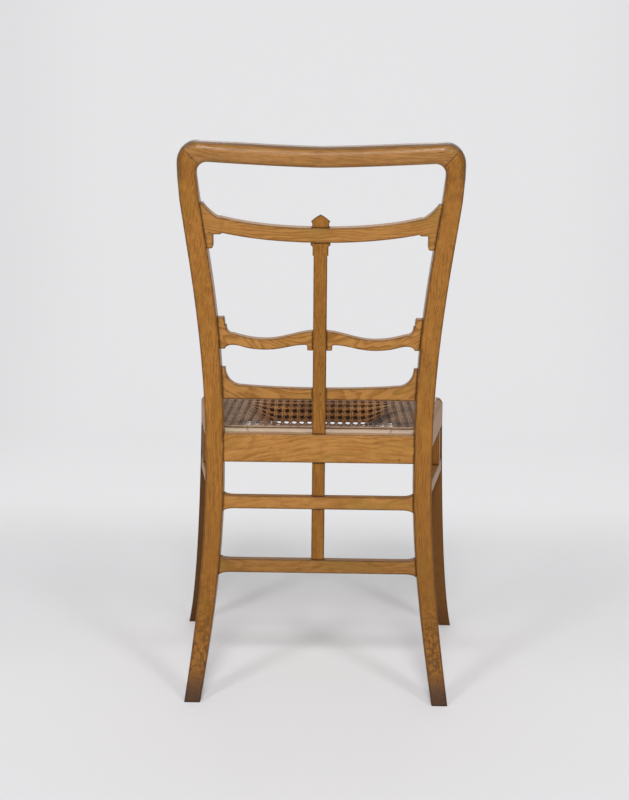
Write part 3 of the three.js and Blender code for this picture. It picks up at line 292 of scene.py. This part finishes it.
def figure(f, board, wood, rings, ringed):
    """Clean oak: its colour, and the fibres, pores, clouds and flecks that the rest follows"""
    pale, deep = wood
    warp, streaks, fibres, dashes, patches, blotches, flecks = (
        f.drawn_out(board, *form) for form in GRAIN.values()
    )
    clouds = f.noise(board, 0.045, 3.0, 0.55)
    _, y, z = f.axes(board)
    heart = (y * y + z * z) ** 0.5
    ring = ((heart + (warp - 0.5) * RING_WANDER) / rings).fraction()
    late = f.between(ring, 0.25, 0.9) * (1.0 - f.between(ring, 0.9, 1.0))
    pores = f.between(dashes, 0.58, 0.70) * (0.4 + late * 0.6)

    tone = late * ringed + (streaks - 0.5) * 1.15 + (fibres - 0.5) * 1.4
    tone = tone + (patches - 0.5) * 0.8 + (blotches - 0.5) * 0.9
    colour = f.mix(f.between(tone + (0.5 - ringed * 0.45), 0.0, 1.0), pale, deep)
    colour = f.mix(f.between(patches, 0.52, 0.70) * 0.45, colour, tinted(pale, OLIVE))
    colour = f.mix(f.between(blotches, 0.54, 0.72) * 0.5, colour, tinted(pale, RUSSET))
    colour = f.mix(pores * 0.35, colour, scaled(deep, 0.4))
    colour = f.mix(f.between(clouds, 0.58, 0.76) * 0.22, colour, scaled(deep, 0.55))
    colour = f.mix(f.between(flecks, 0.68, 0.76) * 0.6, colour, scaled(deep, 0.4))
    return colour, fibres, pores, clouds, flecks


def foot_wear(f, colour, deep, board, height):
    """Darker towards the floor, black at the foot, and worn in patches above it"""
    colour = f.mix((1.0 - f.between(height, 0.2, 0.5)) * 0.3, colour, scaled(deep, 0.9))
    mottle = f.noise(board, 0.14, 3.0, 0.6)
    low = 1.0 - f.between(height + (mottle - 0.5) * 0.08, 0.006, 0.058)
    colour = f.mix(low * 0.9, colour, FOOT_DIRT)
    worn = (1.0 - f.between(height, 0.05, 0.26)) * f.between(mottle, 0.40, 0.62)
    return f.mix(worn * 0.7, colour, scaled(deep, 0.33))


def oak(
    name,
    wood,
    grain,
    seed,
    gloss=0.06,
    specular=0.14,
    rough=0.42,
    rings=3.4,
    ringed=0.3,
    arch=(0.0, 0.0),
    worn_foot=False,
    arris_dirt_and_shade=0.9,
    crease_dirt_and_shade=1.0,
    painted_shade_side=None,
    mitred=False,
    soft_radius=0.0045,
):
    """Varnished oak of a pale and a deep tone

    grain is the turn of the grain from the X axis, rings a ring's width in millimetres and
    ringed how much the rings show. arch is the middle and the rise of an arched figure, and
    the side given for painted shade is a direction, a share and a colour of painted shade for the
    sides that face it.
    """
    deep = wood[1]
    f = Finish(name)
    side, depth, height = f.axes(f.node("ShaderNodeTexCoord", output="Object"))
    facing = f.node("ShaderNodeTexCoord", output="Normal")
    board = board_of(f, side, depth, height, grain, seed, arch)
    colour, fibres, pores, clouds, flecks = figure(f, board, wood, rings, ringed)

    soft, arris = edges_of(f, soft_radius)
    # Darker in creases and where parts meet: partly dirt, partly painted shade
    corner = f.between(f.crease(CREASE_REACH), 0.2, 0.8) * crease_dirt_and_shade
    if mitred:
        corner = corner * (1.0 - f.between(height, *HEAD_CREASE_ENDS) * 0.8)
        _, _, upward = f.axes(facing)
        head = f.between(height, *HEAD_BEGINS)
        colour = f.mix(f.between(upward, 0.12, 0.6) * head * 0.7, colour, scaled(deep, 0.7))
        away = height - abs(side) - (TOP - CORNER_ROUND - CORNER_MIDDLE)
        joint = (1.0 - f.between(away * away, *MITRE_ENDS)) * head
        arris = arris * (1.0 - joint * (0.65 + f.between(height, *MITRE_FADES) * 0.3))
    colour = f.mix(corner * 0.9, colour, DIRT_AND_SHADE)
    # Dark lines along the arrises, kept in patches: partly dirt, partly painted shade on the
    # rounded edges
    kept_dirt_and_shade = f.between(flecks + (clouds - 0.5) * 0.6, 0.2, 0.52)
    colour = f.mix(arris * kept_dirt_and_shade * arris_dirt_and_shade, colour, DIRT_AND_SHADE)
    if worn_foot:
        colour = foot_wear(f, colour, deep, board, height)
    # Painted shade: the faces that look the given way are darkened towards the shade colour
    if painted_shade_side:
        way, share, shade_colour = painted_shade_side
        colour = f.mix(f.between(f.towards(facing, way), 0.4, 0.6) * share, colour, shade_colour)

    roughness = rough + (fibres - 0.5) * 0.2 + pores * 0.15 + corner * 0.3
    if mitred:
        roughness = roughness + (1.0 - f.between(side * side, *POLISH_BEGINS)) * 0.22
        soft = f.bump(1.0, 1.0, crowned(f, side, height), Normal=soft)
    return f.surface(
        Base_Color=colour,
        Roughness=roughness,
        Specular_IOR_Level=specular,
        Coat_Weight=gloss,
        Coat_Roughness=COAT_ROUGHNESS,
        Normal=f.bump(0.3, PORE_DEPTH, fibres * 0.5 - pores * 0.6, Normal=soft),
    )


def turned(x, y, z):
    return tuple(math.radians(value) for value in (x, y, z))


def shade(wood, share):
    return tuple(scaled(colour, share) for colour in wood)


X_GRAIN = turned(0, 0, 0)
Y_GRAIN = turned(0, 0, 90)
Z_GRAIN = turned(0, -90, 0)

POST = ((0.337, 0.143, 0.0225), (0.182, 0.067, 0.006))
RAIL = ((0.393, 0.183, 0.046), (0.235, 0.097, 0.015))
SEAT = ((0.66, 0.48, 0.33), (0.50, 0.34, 0.21))
RAW = ((0.30, 0.18, 0.08), (0.19, 0.105, 0.042))

# Each member's wood, the way of its grain and its seed; a share makes a darker copy of one wood,
# fitted to how bright the member looks
WOODS = {
    "rear_post_left": (POST, Z_GRAIN, 1.0),
    "rear_post_right": (shade(POST, 0.94), Z_GRAIN, 2.3),
    "front_leg_left": (shade(POST, 0.9), Z_GRAIN, 3.1),
    "front_leg_right": (shade(POST, 0.9), Z_GRAIN, 4.4),
    "crest_rail": (shade(RAIL, 0.82), turned(0, 4, 0), 5.2),
    "upper_back_rail": (shade(RAIL, 0.93), X_GRAIN, 6.1),
    "middle_back_rail": (shade(RAIL, 0.96), X_GRAIN, 7.7),
    "lower_back_rail": (shade(RAIL, 0.9), X_GRAIN, 8.3),
    "centre_post": (shade(POST, 0.84), Z_GRAIN, 9.9),
    "lower_centre_post": (shade(POST, 0.8), Z_GRAIN, 10.4),
    "rear_upper_stretcher": (shade(RAIL, 0.94), turned(0, -3, 0), 11.6),
    "rear_lower_stretcher": (shade(RAIL, 0.74), turned(0, 3, 0), 12.2),
    "rear_seat_rail": (RAIL, X_GRAIN, 13.5),
    "front_seat_rail": (RAIL, X_GRAIN, 14.1),
    "side_seat_rail_left": (RAIL, Y_GRAIN, 15.8),
    "side_seat_rail_right": (RAIL, Y_GRAIN, 16.9),
    "side_stretcher_left": (RAIL, Y_GRAIN, 17.3),
    "side_stretcher_right": (RAIL, Y_GRAIN, 18.7),
    "side_slat_left": (POST, Z_GRAIN, 19.5),
    "side_slat_right": (POST, Z_GRAIN, 20.1),
    "seat_frame_rear": (SEAT, X_GRAIN, 21.7),
    "seat_frame_front": (SEAT, X_GRAIN, 22.3),
    "seat_frame_side_left": (SEAT, Y_GRAIN, 23.8),
    "seat_frame_side_right": (SEAT, Y_GRAIN, 24.6),
}
RAW_SEED = 30.0

BACK, LEFT, RIGHT = (0.0, -1.0, 0.0), (-1.0, 0.0, 0.0), (1.0, 0.0, 0.0)
# Painted shade on the front legs' backs, deeper on the left leg than on the right
LEG_SHADE_LEFT, LEG_SHADE_RIGHT = (0.075, 0.029, 0.006), (0.125, 0.050, 0.011)
# Near-black painted shade for the inner faces under the seat, which show through the cane's holes
UNDERSIDE_SHADE = (0.010, 0.005, 0.002)
SHADED_UNDERSIDE = {side: (side, 0.92, UNDERSIDE_SHADE) for side in (BACK, LEFT, RIGHT)}

# What sets one member's finish apart from plain oak
SPECIAL = {
    "crest_rail": {
        "gloss": 0.0,
        "specular": 0.31,
        "rough": 0.17,
        "arch": (0.0, -0.25),
        "arris_dirt_and_shade": 0.12,
        "mitred": True,
        "soft_radius": 0.006,
    },
    "front_leg_left": {"painted_shade_side": (BACK, 0.8, LEG_SHADE_LEFT)},
    "front_leg_right": {"painted_shade_side": (BACK, 0.7, LEG_SHADE_RIGHT)},
    "rear_post_left": {"mitred": True, "specular": 0.18, "rough": 0.3},
    "rear_post_right": {"mitred": True, "specular": 0.18, "rough": 0.3},
    "upper_back_rail": {"ringed": 0.5, "arch": (0.0, -0.6)},
    "middle_back_rail": {"ringed": 0.8, "arch": (0.0, -2.6), "rings": 2.6},
    "lower_back_rail": {"ringed": 0.6, "arch": (0.0, -1.6), "rings": 3.0},
    "rear_seat_rail": {"ringed": 0.35, "arch": (0.046, 0.9), "rings": 3.6},
    "front_seat_rail": {"painted_shade_side": SHADED_UNDERSIDE[BACK]},
    "side_seat_rail_left": {"painted_shade_side": SHADED_UNDERSIDE[RIGHT]},
    "side_seat_rail_right": {"painted_shade_side": SHADED_UNDERSIDE[LEFT]},
    "seat_frame_rear": {"crease_dirt_and_shade": 0.3, "arris_dirt_and_shade": 0.2},
    "seat_frame_front": {"painted_shade_side": SHADED_UNDERSIDE[BACK]},
    "seat_frame_side_left": {"painted_shade_side": SHADED_UNDERSIDE[RIGHT], "crease_dirt_and_shade": 0.2, "arris_dirt_and_shade": 0.2},
    "seat_frame_side_right": {"painted_shade_side": SHADED_UNDERSIDE[LEFT], "crease_dirt_and_shade": 0.2, "arris_dirt_and_shade": 0.2},
}


def steel():
    f = Finish("screw_steel")
    specks = f.noise(f.node("ShaderNodeTexCoord", output="Object"), 900.0, 3.0, 0.6)
    colour = f.mix(f.between(specks, 0.5, 0.75), (0.42, 0.40, 0.37), (0.16, 0.10, 0.06))
    return f.surface(Base_Color=colour, Metallic=1.0, Roughness=0.35 + (specks - 0.5) * 0.4)


def finish_nodes():
    """Give every CAD node its finish: its own oak, raw wood inside, steel on the screws"""
    for name, (wood, grain, seed) in WOODS.items():
        foot = name.startswith(("rear_post", "front_leg"))
        made = oak("oak_" + name, wood, grain, seed, worn_foot=foot, **SPECIAL.get(name, {}))
        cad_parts[name].data.materials.clear()
        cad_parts[name].data.materials.append(made)
    raw = oak("raw_wood", RAW, X_GRAIN, RAW_SEED, gloss=0.0, crease_dirt_and_shade=0.6)
    metal = steel()
    for name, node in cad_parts.items():
        if name not in WOODS:
            node.data.materials.clear()
            node.data.materials.append(metal if "screw" in name else raw)


finish_nodes()

# ---------------------------------------------------------------- cane

# The seat frame's place, as the CAD has it; the cane is made flat on it and placed at the end
SEAT_SLOPE = math.atan(11 / 438)
SEAT_SPOT = (0, -0.1786, 0.456)
SEAT_PLACE = Matrix.Translation(SEAT_SPOT) @ Matrix.Rotation(SEAT_SLOPE, 4, "X")
NET_REAR, NET_FRONT = 0.0543, 0.4147
NET_REAR_HALF, NET_FRONT_HALF = 0.1674, 0.2205
NET_LEVEL = 0.0016
OPEN_REAR, OPEN_FRONT, OPEN_HALF = 0.0703, 0.3737, 0.11802
SIDE_SLANT = 0.1473
SAG, SAG_RUN, SAG_INSET = 0.036, 0.080, 0.008

# The weave: the distance from pair to pair, from a pair's middle to its strands,
# the strands' own sizes, and how far they rise and fall as they cross
MESH, PAIR = 0.0147, 0.0016
STRAND_WIDTH, SLANTED_WIDTH = 0.0021, 0.0024
STRAND_CROWN, STRAND_THICKNESS = 0.00025, 0.0004
SWING, SLANTED_SWING = 0.0002, 0.0004
WAVE_STEPS, FEWEST_STEPS = 8, 4
NET_INSET, SHORTEST = 0.0015, 0.008
SMOOTH_UNDER = math.radians(40)

# The binding strip: its width, its level over the net, and its rounding
BINDING_WIDTH, BINDING_THICKNESS, BINDING_LIFT = 0.006, 0.0013, 0.0008
BINDING_CORNER, BINDING_ROUND = 0.014, 0.0009
SHARP = 1.2

# The cane's colours: brown where it is sat on, golden in the middle, stained at the right;
# the pairs are the limits, in metres or their squares, between which each begins
SAT_ON, SAT_ON_LEVEL = (0.075, 0.034, 0.013), (0.426, 0.452)
GOLDEN, GOLDEN_FROM, GOLDEN_SIDES = (0.92, 0.68, 0.42), (-0.06, 0.04), (0.010, 0.022)
STAIN, STAIN_EDGE = (0.045, 0.017, 0.006), (0.65, 1.1)
STAIN_SIDE, STAIN_DEPTH = 0.092, 0.045
STAIN_HALF_WIDTH, STAIN_HALF_LENGTH = 0.050, 0.085
# Painted shade in the crevices of the weave
CREVICE_SHADE = (0.02, 0.009, 0.004)


def cane_fibre(name, pale, deep, dirty):
    f = Finish(name)
    place = f.node("ShaderNodeTexCoord", output="Object")
    side, depth, height = f.axes(place)
    broad = f.noise(place, 28.0, 3.0, 0.55)
    fine = f.noise(place, 420.0, 3.0, 0.6)
    colour = f.mix(f.between(fine, 0.3, 0.7), pale, deep)
    colour = f.mix(f.between(broad, 0.42, 0.68) * 0.6, colour, dirty)
    sat_on = 1.0 - f.between(height, *SAT_ON_LEVEL)
    colour = f.mix(sat_on * 0.45, colour, SAT_ON)
    golden = f.between(depth, *GOLDEN_FROM) * (1.0 - f.between(side * side, *GOLDEN_SIDES))
    colour = f.mix(golden, colour, GOLDEN, "MULTIPLY")
    across = (side - STAIN_SIDE) / STAIN_HALF_WIDTH
    along = (depth - STAIN_DEPTH) / STAIN_HALF_LENGTH
    away = (across * across + along * along) ** 0.5 + (broad - 0.5)
    colour = f.mix((1.0 - f.between(away, *STAIN_EDGE)) * 0.92, colour, STAIN)
    # Painted shade where strands cross and meet the binding
    colour = f.mix(f.between(f.crease(0.003), 0.25, 0.85) * 0.8, colour, CREVICE_SHADE)
    return f.surface(
        Base_Color=colour,
        Roughness=0.5 + (fine - 0.5) * 0.3,
        Specular_IOR_Level=0.07,
        Normal=f.bump(0.3, 0.0002, fine),
    )


CANE = cane_fibre("cane", (0.50, 0.34, 0.225), (0.25, 0.14, 0.07), (0.17, 0.105, 0.08))
CANE_DARK = cane_fibre("cane_dark", (0.25, 0.135, 0.065), (0.10, 0.047, 0.019), (0.09, 0.05, 0.036))


def finished(bm, name, material):
    """Turn a bmesh in the seat's frame into a piece of the chair"""
    bm.transform(SEAT_PLACE)
    bmesh.ops.recalc_face_normals(bm, faces=bm.faces)
    mesh = bpy.data.meshes.new(name)
    bm.to_mesh(mesh)
    bm.free()
    mesh.materials.append(material)
    piece = bpy.data.objects.new(name, mesh)
    bpy.context.scene.collection.objects.link(piece)
    mesh.polygons.foreach_set("use_smooth", [True] * len(mesh.polygons))
    mesh.set_sharp_from_angle(angle=SMOOTH_UNDER)
    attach(piece, "root")
    return piece


def sag_at(x, y):
    """How far the old cane has sunk at a spot of the seat"""
    room = min(y - OPEN_REAR, OPEN_FRONT - y)
    side = OPEN_HALF + y * SIDE_SLANT - abs(x)
    sunk = SAG
    for gap in (room, side):
        share = min(max((gap - SAG_INSET) / SAG_RUN, 0.0), 1.0)
        sunk *= share * share * (3.0 - 2.0 * share)
    return sunk


def chord(spot, way):
    """The part of a line that lies inside the net, as distances from the spot"""
    low, high = -1.0, 1.0
    slant = math.atan2(NET_FRONT_HALF - NET_REAR_HALF, NET_FRONT - NET_REAR)
    out, back = math.cos(slant), -math.sin(slant)
    half = NET_REAR_HALF - NET_INSET
    edges = [
        (Vector((0.0, NET_REAR + NET_INSET)), Vector((0.0, -1.0))),
        (Vector((0.0, NET_FRONT - NET_INSET)), Vector((0.0, 1.0))),
        (Vector((half, NET_REAR)), Vector((out, back))),
        (Vector((-half, NET_REAR)), Vector((-out, back))),
    ]
    for corner, outwards in edges:
        steep = way.dot(outwards)
        room = (corner - spot).dot(outwards)
        if abs(steep) < 1e-6:
            if room < 0:
                return None
        elif steep > 0:
            high = min(high, room / steep)
        else:
            low = max(low, room / steep)
    return (low, high) if high - low > SHORTEST else None


def add_strand(bm, spot, angle, width, wave, swing, phase):
    """One ribbon of cane that rises and falls as it is woven, along a line through the spot"""
    way = Vector((math.cos(angle), math.sin(angle)))
    ends = chord(spot, way)
    if not ends:
        return
    low, high = ends
    centre = spot + way * (low + high) / 2
    place = Matrix.Translation((*centre, 0)) @ Matrix.Rotation(angle, 4, "Z")
    place = place @ Matrix.Diagonal((high - low, width, 1, 1))
    steps = max(FEWEST_STEPS, math.ceil((high - low) / wave * WAVE_STEPS))
    made = bmesh.ops.create_grid(bm, x_segments=steps, y_segments=2, size=0.5, matrix=place)
    square = Vector((-way.y, way.x))
    for vert in made["verts"]:
        flat = vert.co.to_2d() - spot
        crown = 1.0 - abs(flat.dot(square)) / (width / 2)
        vert.co.z = swing * math.cos(2 * math.pi * flat.dot(way) / wave + phase)
        vert.co.z += NET_LEVEL + crown * STRAND_CROWN - sag_at(vert.co.x, vert.co.y)


def thicken(bm):
    raised = bmesh.ops.extrude_face_region(bm, geom=bm.faces[:], use_keep_orig=True)
    lower = [item for item in raised["geom"] if isinstance(item, bmesh.types.BMVert)]
    bmesh.ops.translate(bm, verts=lower, vec=(0, 0, -STRAND_THICKNESS))


def weave():
    """Pairs of straight strands both ways, and single slanted ones through their crossings"""
    middle = (NET_REAR + NET_FRONT) / 2
    rows = math.ceil((NET_FRONT - NET_REAR) / MESH / 2) + 1
    columns = math.ceil(NET_FRONT_HALF / MESH) + 1

    straight = bmesh.new()
    wave = 2 * MESH
    for side in (-PAIR, PAIR):
        for i in range(-columns, columns + 1):
            spot = Vector((i * MESH + side, middle))
            add_strand(straight, spot, math.pi / 2, STRAND_WIDTH, wave, SWING, math.pi * i)
        for j in range(-rows, rows + 1):
            spot = Vector((0.0, middle + j * MESH + side))
            add_strand(straight, spot, 0.0, STRAND_WIDTH, wave, -SWING, math.pi * j)
    thicken(straight)
    finished(straight, "cane_straight", CANE)

    slanted = bmesh.new()
    wave = MESH * math.sqrt(2)
    reach = rows + columns + 1
    for way in (1, -1):
        for k in range(-reach, reach):
            start = (k + 0.5) * MESH
            spot = Vector((start / 2, middle - way * start / 2))
            angle, swing, phase = way * math.pi / 4, way * SLANTED_SWING, math.pi * (k + 0.5)
            add_strand(slanted, spot, angle, SLANTED_WIDTH, wave, swing, phase)
    thicken(slanted)
    finished(slanted, "cane_slanted", CANE_DARK)


def binding():
    """The strip of cane that covers the net's edge"""
    bm = bmesh.new()
    level = NET_LEVEL + BINDING_LIFT
    corners = [
        bm.verts.new((NET_REAR_HALF, NET_REAR, level)),
        bm.verts.new((NET_FRONT_HALF, NET_FRONT, level)),
        bm.verts.new((-NET_FRONT_HALF, NET_FRONT, level)),
        bm.verts.new((-NET_REAR_HALF, NET_REAR, level)),
    ]
    bm.faces.new(corners)
    bmesh.ops.bevel(
        bm,
        geom=corners,
        offset=BINDING_CORNER,
        offset_type="OFFSET",
        segments=6,
        profile=0.5,
        affect="VERTICES",
        material=-1,
    )
    bmesh.ops.inset_region(
        bm,
        faces=bm.faces[:],
        thickness=BINDING_WIDTH,
        use_even_offset=True,
        use_boundary=True,
    )
    middle = max(bm.faces, key=lambda face: face.calc_area())
    bmesh.ops.delete(bm, geom=[middle], context="FACES_ONLY")
    raised = bmesh.ops.extrude_face_region(bm, geom=bm.faces[:], use_keep_orig=True)
    top = [item for item in raised["geom"] if isinstance(item, bmesh.types.BMVert)]
    bmesh.ops.translate(bm, verts=top, vec=(0, 0, BINDING_THICKNESS))
    rims = [
        edge
        for edge in bm.edges
        if edge.is_manifold
        and abs(edge.calc_face_angle(0)) > SHARP
        and all(vert in top for vert in edge.verts)
    ]
    bmesh.ops.bevel(
        bm,
        geom=rims,
        offset=BINDING_ROUND,
        segments=2,
        profile=0.5,
        affect="EDGES",
        material=-1,
    )
    return finished(bm, "cane_binding", CANE)


weave()
strip = binding()
for piece in ("cane_straight", "cane_slanted"):
    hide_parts("cane_net")
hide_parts("cane_binder")

# ---------------------------------------------------------------- studio

FLOOR_HALF, FLOOR_NEAR, FLOOR_FAR = 6.0, -5.0, 2.6
BEND, BEND_STEPS, WALL_RISE = 0.9, 24, 4.5

# The paper's colours, from the camera to the wall, and the depths between which each begins; darker
# near the camera and paler behind the chair, they paint how the light falls over the paper
PAPER_NEAR, NEAR_ENDS = (0.755, 0.75, 0.765), (-0.85, 0.0)
PAPER, PAPER_BEHIND, BEHIND_BEGINS = (0.87, 0.865, 0.88), (0.955, 0.95, 0.965), (0.1, 0.9)
PAPER_FAR, FAR_BEGINS = (0.86, 0.86, 0.868), (0.6, 1.5)
# What the camera sees of the far paper, a painted glow: pale in the middle and less so at the sides
PALE, PALE_SIDE = (0.855, 0.855, 0.868), (0.80, 0.80, 0.813)
SIDE_BEGINS = (0.8, 2.2)
AWAY_BEGINS = (1.9, 3.6)
GLOW_ROUND, GLOW_FAR = 0.06, 0.68

# Each lamp: azimuth, elevation, distance, size and power, aimed at the chair's middle
LAMPS = {
    "left": (-31, 29, 4.2, 0.75, 32),
    "right": (31, 29, 4.2, 0.75, 32),
    "middle": (0, 31, 4.2, 1.1, 98),
    "front": (180, 42, 2.8, 1.6, 9),
}
LAMP_AIM = Vector((0.0, 0.0, 0.45))
ROOM_LIGHT = 0.30


def paper():
    """Pale matt paper that keeps the chair's shadow near it and is even far away, its tones
    painting the light over it and its far part a painted glow
    """
    f = Finish("paper")
    side, depth, _ = f.axes(f.node("ShaderNodeTexCoord", output="Object"))
    far = f.between(depth, *FAR_BEGINS)
    near = 1.0 - f.between(depth, *NEAR_ENDS)
    colour = f.mix(f.between(depth, *BEHIND_BEGINS), PAPER, PAPER_BEHIND)
    colour = f.mix(near, colour, PAPER_NEAR)
    colour = f.mix(far, colour, PAPER_FAR)
    matt = f.node("ShaderNodeBsdfDiffuse", None, {"Color": colour})
    light = f.mix(f.between(side * side, *SIDE_BEGINS), PALE, PALE_SIDE)
    glow = f.node("ShaderNodeEmission", None, {"Color": light, "Strength": 1.0})
    away = f.between((side * side + depth * depth) ** 0.5, *AWAY_BEGINS)
    even = 1.0 - (1.0 - far) * (1.0 - away)
    share = f.seen() * (even * GLOW_FAR + GLOW_ROUND)
    both = f.node("ShaderNodeMixShader", None, {0: share, 1: matt, 2: glow})
    f.node("ShaderNodeOutputMaterial", None, {"Surface": both})
    return f.material


def sweep():
    """Floor and backdrop in one pale sheet"""
    bm = bmesh.new()
    start = bm.verts.new((-FLOOR_HALF, FLOOR_NEAR, 0.0))
    end = bm.verts.new((-FLOOR_HALF, FLOOR_FAR, 0.0))
    bm.edges.new((start, end))
    bend = bmesh.ops.spin(
        bm,
        geom=[end],
        cent=(-FLOOR_HALF, FLOOR_FAR, BEND),
        axis=(1, 0, 0),
        angle=math.pi / 2,
        steps=BEND_STEPS,
        use_merge=False,
    )
    last = [item for item in bend["geom_last"] if isinstance(item, bmesh.types.BMVert)]
    wall = bmesh.ops.extrude_vert_indiv(bm, verts=last)
    bmesh.ops.translate(bm, verts=wall["verts"], vec=(0, 0, WALL_RISE))
    sheet = bmesh.ops.extrude_edge_only(bm, edges=bm.edges[:])
    moved = [item for item in sheet["geom"] if isinstance(item, bmesh.types.BMVert)]
    bmesh.ops.translate(bm, verts=moved, vec=(2 * FLOOR_HALF, 0, 0))
    bmesh.ops.recalc_face_normals(bm, faces=bm.faces)
    mesh = bpy.data.meshes.new("sweep")
    bm.to_mesh(mesh)
    bm.free()
    mesh.polygons.foreach_set("use_smooth", [True] * len(mesh.polygons))
    mesh.materials.append(paper())
    floor = bpy.data.objects.new("sweep", mesh)
    bpy.context.scene.collection.objects.link(floor)


def lamp(name, azimuth, elevation, distance, size, power):
    data = bpy.data.lights.new(name, "AREA")
    data.shape = "DISK"
    data.size = size
    data.energy = power
    light = bpy.data.objects.new(name, data)
    turn, rise = math.radians(azimuth), math.radians(elevation)
    level = math.cos(rise)
    way = Vector((math.sin(turn) * level, -math.cos(turn) * level, math.sin(rise)))
    aimed = way.to_track_quat("Z", "Y").to_matrix().to_4x4()
    light.matrix_world = Matrix.Translation(LAMP_AIM + way * distance) @ aimed
    bpy.context.scene.collection.objects.link(light)


def room():
    """A room that lights the chair a little and is seen as the wall's own pale"""
    f = Finish("room", world=True)
    dim = f.node("ShaderNodeBackground", None, {"Color": (1.0, 1.0, 1.0), "Strength": ROOM_LIGHT})
    pale = f.node("ShaderNodeBackground", None, {"Color": PALE_SIDE, "Strength": 1.0})
    both = f.node("ShaderNodeMixShader", None, {0: f.seen(), 1: dim, 2: pale})
    f.node("ShaderNodeOutputWorld", None, {"Surface": both})
    bpy.context.scene.world = f.material


sweep()
for name, form in LAMPS.items():
    lamp(name, *form)
room()
bpy.context.scene.view_settings.view_transform = "Standard"
